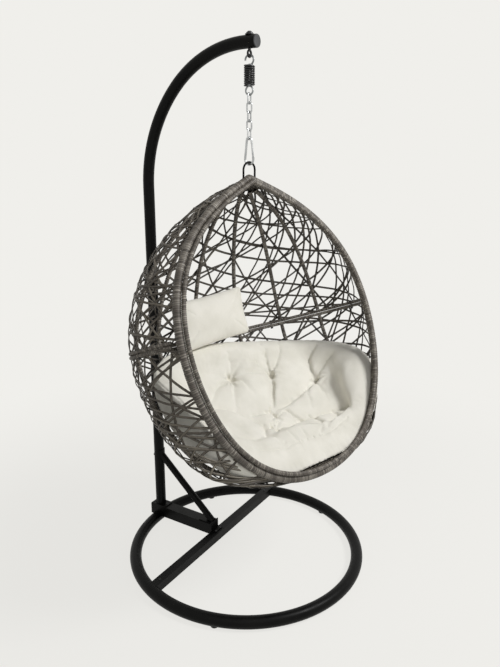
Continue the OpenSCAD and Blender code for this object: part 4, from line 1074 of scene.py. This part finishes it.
# A covered knot draws the cloth into a narrow pit with short folds round it
def drawKnot(points, normals, knot):
    form = knotForm
    gaps = np.linalg.norm(points - knot, axis=1)
    close = gaps < form["reach"]
    away, gaps = points[close] - knot, gaps[close]
    sideways = unit(np.cross(normals[close].mean(0), np.array([0.3, 0.2, 0.9])))
    upright = np.cross(unit(normals[close].mean(0)), sideways)
    bearing = np.arctan2(away @ upright, away @ sideways)
    folds = form["foldDepth"] * np.cos(bearing * form["folds"] + knot[0] * 50)
    folds *= np.exp(-((gaps - form["foldAt"]) / form["foldWidth"]) ** 2)
    pit = form["pit"] * np.exp(-(gaps / form["pitWidth"]) ** 2)
    points[close] -= normals[close] * (pit + folds)[:, None]
    return points


def seatCushion():
    deselect()
    bpy.ops.mesh.primitive_uv_sphere_add(segments=320, ring_count=150, radius=1.0, location=(0, 0, 0))
    piece = bpy.context.object
    piece.name = piece.data.name = "tuftedSeatCushion"
    ball = readPoints(piece.data)
    polar = np.arccos(np.clip(ball[:, 2], -1, 1)) / (math.pi / 2)
    a = np.arctan2(ball[:, 1], ball[:, 0])
    r = np.clip(np.where(polar <= 1, polar, 2 - polar), 0, 1)
    shape = np.where((polar <= 1)[:, None], seatTop(r, a), seatBase(r, a))
    writePoints(piece.data, placed(shape))
    outward(piece)
    points = readPoints(piece.data)
    creases = []
    for through, ends, _ in seatCreases:
        line, depth = creaseLine(through, ends)
        creases.append((laidOn(points, placed(inward(line, seat["thick"] - depth))), depth))
    knots = laidOn(points, placed(inward(tuftPoints(), seat["thick"] - seat["tuftDepth"])))
    rim = placed(seatBase(np.ones(400), np.linspace(0, 2 * math.pi, 400)))
    frontSeam = placed(seatTop(np.full(300, 0.90), np.radians(np.linspace(4, 176, 300))))
    puff(piece, seat, np.concatenate([line for line, _ in creases] + [knots, rim]))
    mesh = piece.data
    points = settle(readPoints(mesh), 1, mesh)
    writePoints(mesh, points)
    normals = vertexNormals(mesh)
    for line, depth in creases:
        points = carve(points, normals, laidOn(points, line), depth * seat["foldShare"], seat["foldReach"])
    for knot in laidOn(points, knots):
        points = drawKnot(points, normals, knot)
    points = settle(points, 2, mesh)
    writePoints(mesh, points)
    normals = vertexNormals(mesh)
    points = stitchLine(points, normals, rim, seat["rimStitch"])
    points = stitchLine(points, normals, frontSeam, seat["frontStitch"])
    writePoints(mesh, clearOfTubes(points))
    finishCushion(piece, "seat_cushion")
    print("seat cushion", len(mesh.polygons), "faces")


pillow = {
    "length": 0.360, "height": 0.196, "thick": 0.088, "lean": 0.034, "x": -0.084, "drop": 0.438, "tilt": 0.07,
    "clear": ribs["depth"] + hoop["ribRadius"] + 0.003, "edge": 0.004,
    "voxel": 0.006, "shrink": 0.003, "swell": 0.009,
    "rimStitch": {"depth": 0.0030, "width": 0.0040, "pucker": 0.0006, "run": 0.023},
    # Folds from the corners: where each starts and ends as shares of the half length and height
    "foldFrom": (0.96, 0.96), "foldTo": (0.55, 0.35), "foldDepth": (0.006, 0.002), "foldReach": 0.014,
}


def pillowV(x, drop):  # where the back of the egg passes x at a drop
    low, high = np.full(np.shape(x), 0.2), np.full(np.shape(x), 0.8)
    for _ in range(20):
        half = (low + high) / 2
        right = egg(findU(half, drop), half)[..., 0] > x
        low, high = np.where(right, half, low), np.where(right, high, half)
    return (low + high) / 2


def pillowPoint(x, z, side):  # x, z in -1..1, side -1 front, 1 back
    full = np.maximum(0, (1 - np.abs(x) ** 4) * (1 - np.abs(z) ** 3)) ** 0.6
    half = pillow["edge"] + (pillow["thick"] / 2 - pillow["edge"]) * full
    reach, rise = pillow["length"] / 2, pillow["height"] / 2
    px = pillow["x"] + x * reach * (0.955 + 0.045 * z * z)
    pz = -pillow["drop"] + z * rise * (0.94 + 0.06 * x * x) + pillow["tilt"] * x * reach
    v = pillowV(px, -pz)
    back = inward(egg(findU(v, -pz), v), pillow["clear"])
    py = back[..., 1] - pillow["thick"] / 2 - pillow["lean"] * (1 - z) / 2 + side * half
    return np.stack([px, py, pz], axis=-1)


def headPillow():
    deselect()
    bpy.ops.mesh.primitive_cube_add(size=2.0, location=(0, 0, 0))
    piece = bpy.context.object
    piece.name = piece.data.name = "headPillow"
    bpy.ops.object.mode_set(mode="EDIT")
    bpy.ops.mesh.select_all(action="SELECT")
    bpy.ops.mesh.subdivide(number_cuts=47)
    bpy.ops.object.mode_set(mode="OBJECT")
    block = readPoints(piece.data)
    front, back = pillowPoint(block[:, 0], block[:, 2], -1), pillowPoint(block[:, 0], block[:, 2], 1)
    share = (block[:, 1:2] + 1) / 2
    writePoints(piece.data, placed(front * (1 - share) + back * share))
    outward(piece)
    side, one = np.linspace(-1, 1, 60), np.ones(60)
    x, z = np.concatenate([side, one, -side, -one]), np.concatenate([-one, side, one, -side])
    rim = placed((pillowPoint(x, z, -1) + pillowPoint(x, z, 1)) / 2)
    puff(piece, pillow, rim)
    mesh = piece.data
    points = settle(readPoints(mesh), 1, mesh)
    writePoints(mesh, points)
    normals = vertexNormals(mesh)
    points = stitchLine(points, normals, rim, pillow["rimStitch"])
    (fromX, fromZ), (toX, toZ) = pillow["foldFrom"], pillow["foldTo"]
    for cornerX, cornerZ in ((-1, -1), (1, -1), (1, 1), (-1, 1)):  # folds run in from the corners
        foldX, foldZ = (np.linspace(cornerX * fromX, cornerX * toX, 30),
                        np.linspace(cornerZ * fromZ, cornerZ * toZ, 30))
        line = laidOn(points, placed(pillowPoint(foldX, foldZ, -1)))
        depth = np.linspace(*pillow["foldDepth"], len(line))
        points = carve(points, normals, line, depth, pillow["foldReach"])
    writePoints(mesh, clearOfTubes(points))
    finishCushion(piece, "head_pillow")
    print("head pillow", len(mesh.polygons), "faces")


seatCushion()
headPillow()


# Floor, light and camera
studio = {
    "ground": "#f0efeb", "worldLight": 0.28, "nearShare": 0.86, "aim": (0, 0, 1.0),
    "lamps": {
        "keyLamp": {"place": (0.65, -2.5, 3.2), "size": 1.0, "power": 92.0},
        "fillLamp": {"place": (-2.6, -1.9, 3.0), "size": 2.0, "power": 9.0},
    },
}


def stageFloor():
    deselect()
    bpy.ops.mesh.primitive_grid_add(x_subdivisions=8, y_subdivisions=8, size=60.0, location=(0, 0, -0.0005))
    floor = bpy.context.object
    floor.name = "studioFloor"
    material = bpy.data.materials.new("paleSeamlessPaper")
    material.use_nodes = True
    tree = material.node_tree
    tree.nodes.clear()
    coords = addNode(tree, "TexCoord")
    away = addNode(tree, "VectorMath", links={0: coords.outputs["Object"]}, operation="LENGTH")
    fade = {"From Min": 0.8, "From Max": 2.4, "To Min": studio["nearShare"]}
    far = addNode(tree, "MapRange", fade, {"Value": away.outputs["Value"]}, interpolation_type="SMOOTHSTEP")
    ray = addNode(tree, "LightPath")
    rays = {0: ray.outputs["Is Camera Ray"], 1: ray.outputs["Is Glossy Ray"]}
    seen = addNode(tree, "Math", links=rays, operation="ADD")
    shown = {0: seen.outputs[0], 1: far.outputs["Result"]}
    share = addNode(tree, "Math", links=shown, operation="MULTIPLY", use_clamp=True)
    matt = addNode(tree, "BsdfDiffuse", {"Color": hexColour(studio["ground"])})
    glow = addNode(tree, "Emission", {"Color": hexColour(studio["ground"]), "Strength": 1.0})
    mixed = {0: share.outputs[0], 1: matt.outputs[0], 2: glow.outputs[0]}
    both = addNode(tree, "MixShader", links=mixed)
    addNode(tree, "OutputMaterial", links={"Surface": both.outputs[0]})
    dress(floor, material)


def stageWorld():
    world = bpy.data.worlds.new("studioWorld")
    scene.world = world
    world.use_nodes = True
    tree = world.node_tree
    tree.nodes.clear()
    ray = addNode(tree, "LightPath")
    rays = {0: ray.outputs["Is Camera Ray"], 1: ray.outputs["Is Glossy Ray"]}
    seen = addNode(tree, "Math", links=rays, operation="ADD")
    through = {0: seen.outputs[0], 1: ray.outputs["Is Transmission Ray"]}
    shown = addNode(tree, "Math", links=through, operation="ADD", use_clamp=True)
    light = addNode(tree, "Background", {"Color": (1, 1, 1, 1), "Strength": studio["worldLight"]})
    back = addNode(tree, "Background", {"Color": hexColour(studio["ground"]), "Strength": 1.0})
    mixed = {0: shown.outputs[0], 1: light.outputs[0], 2: back.outputs[0]}
    both = addNode(tree, "MixShader", links=mixed)
    addNode(tree, "OutputWorld", links={"Surface": both.outputs[0]})


def areaLamp(name, place, size, power):
    lamp = bpy.data.lights.new(name, "AREA")
    lamp.energy = power
    lamp.shape = "SQUARE"
    lamp.size = size
    holder = bpy.data.objects.new(name, lamp)
    scene.collection.objects.link(holder)
    holder.location = place
    toward = Vector(studio["aim"]) - Vector(place)
    holder.rotation_euler = toward.to_track_quat("-Z", "Y").to_euler()


stageFloor()
stageWorld()
for name, lamp in studio["lamps"].items():
    areaLamp(name, **lamp)

view = {
    "place": (-1.921, -1.207, 1.574), "heading": -58.1739, "pitch": 15.7152, "roll": 0.1843, "lens": 45.14,
}
heading, pitch, roll = (math.radians(view[name]) for name in ("heading", "pitch", "roll"))
level = math.cos(pitch)
behind = Vector((math.sin(heading) * level, -math.cos(heading) * level, math.sin(pitch)))
right = Vector((math.cos(heading), math.sin(heading), 0))
up = behind.cross(right)
rightRolled = right * math.cos(roll) + up * math.sin(roll)
upRolled = up * math.cos(roll) - right * math.sin(roll)
camera = bpy.data.objects.new("camera", bpy.data.cameras.new("camera"))
scene.collection.objects.link(camera)
turned = Matrix((rightRolled, upRolled, behind)).transposed().to_4x4()
camera.matrix_world = Matrix.Translation(view["place"]) @ turned
camera.data.sensor_fit = "HORIZONTAL"
camera.data.sensor_width = 36.0
camera.data.lens = view["lens"]
scene.camera = camera
scene.view_settings.view_transform = "Standard"
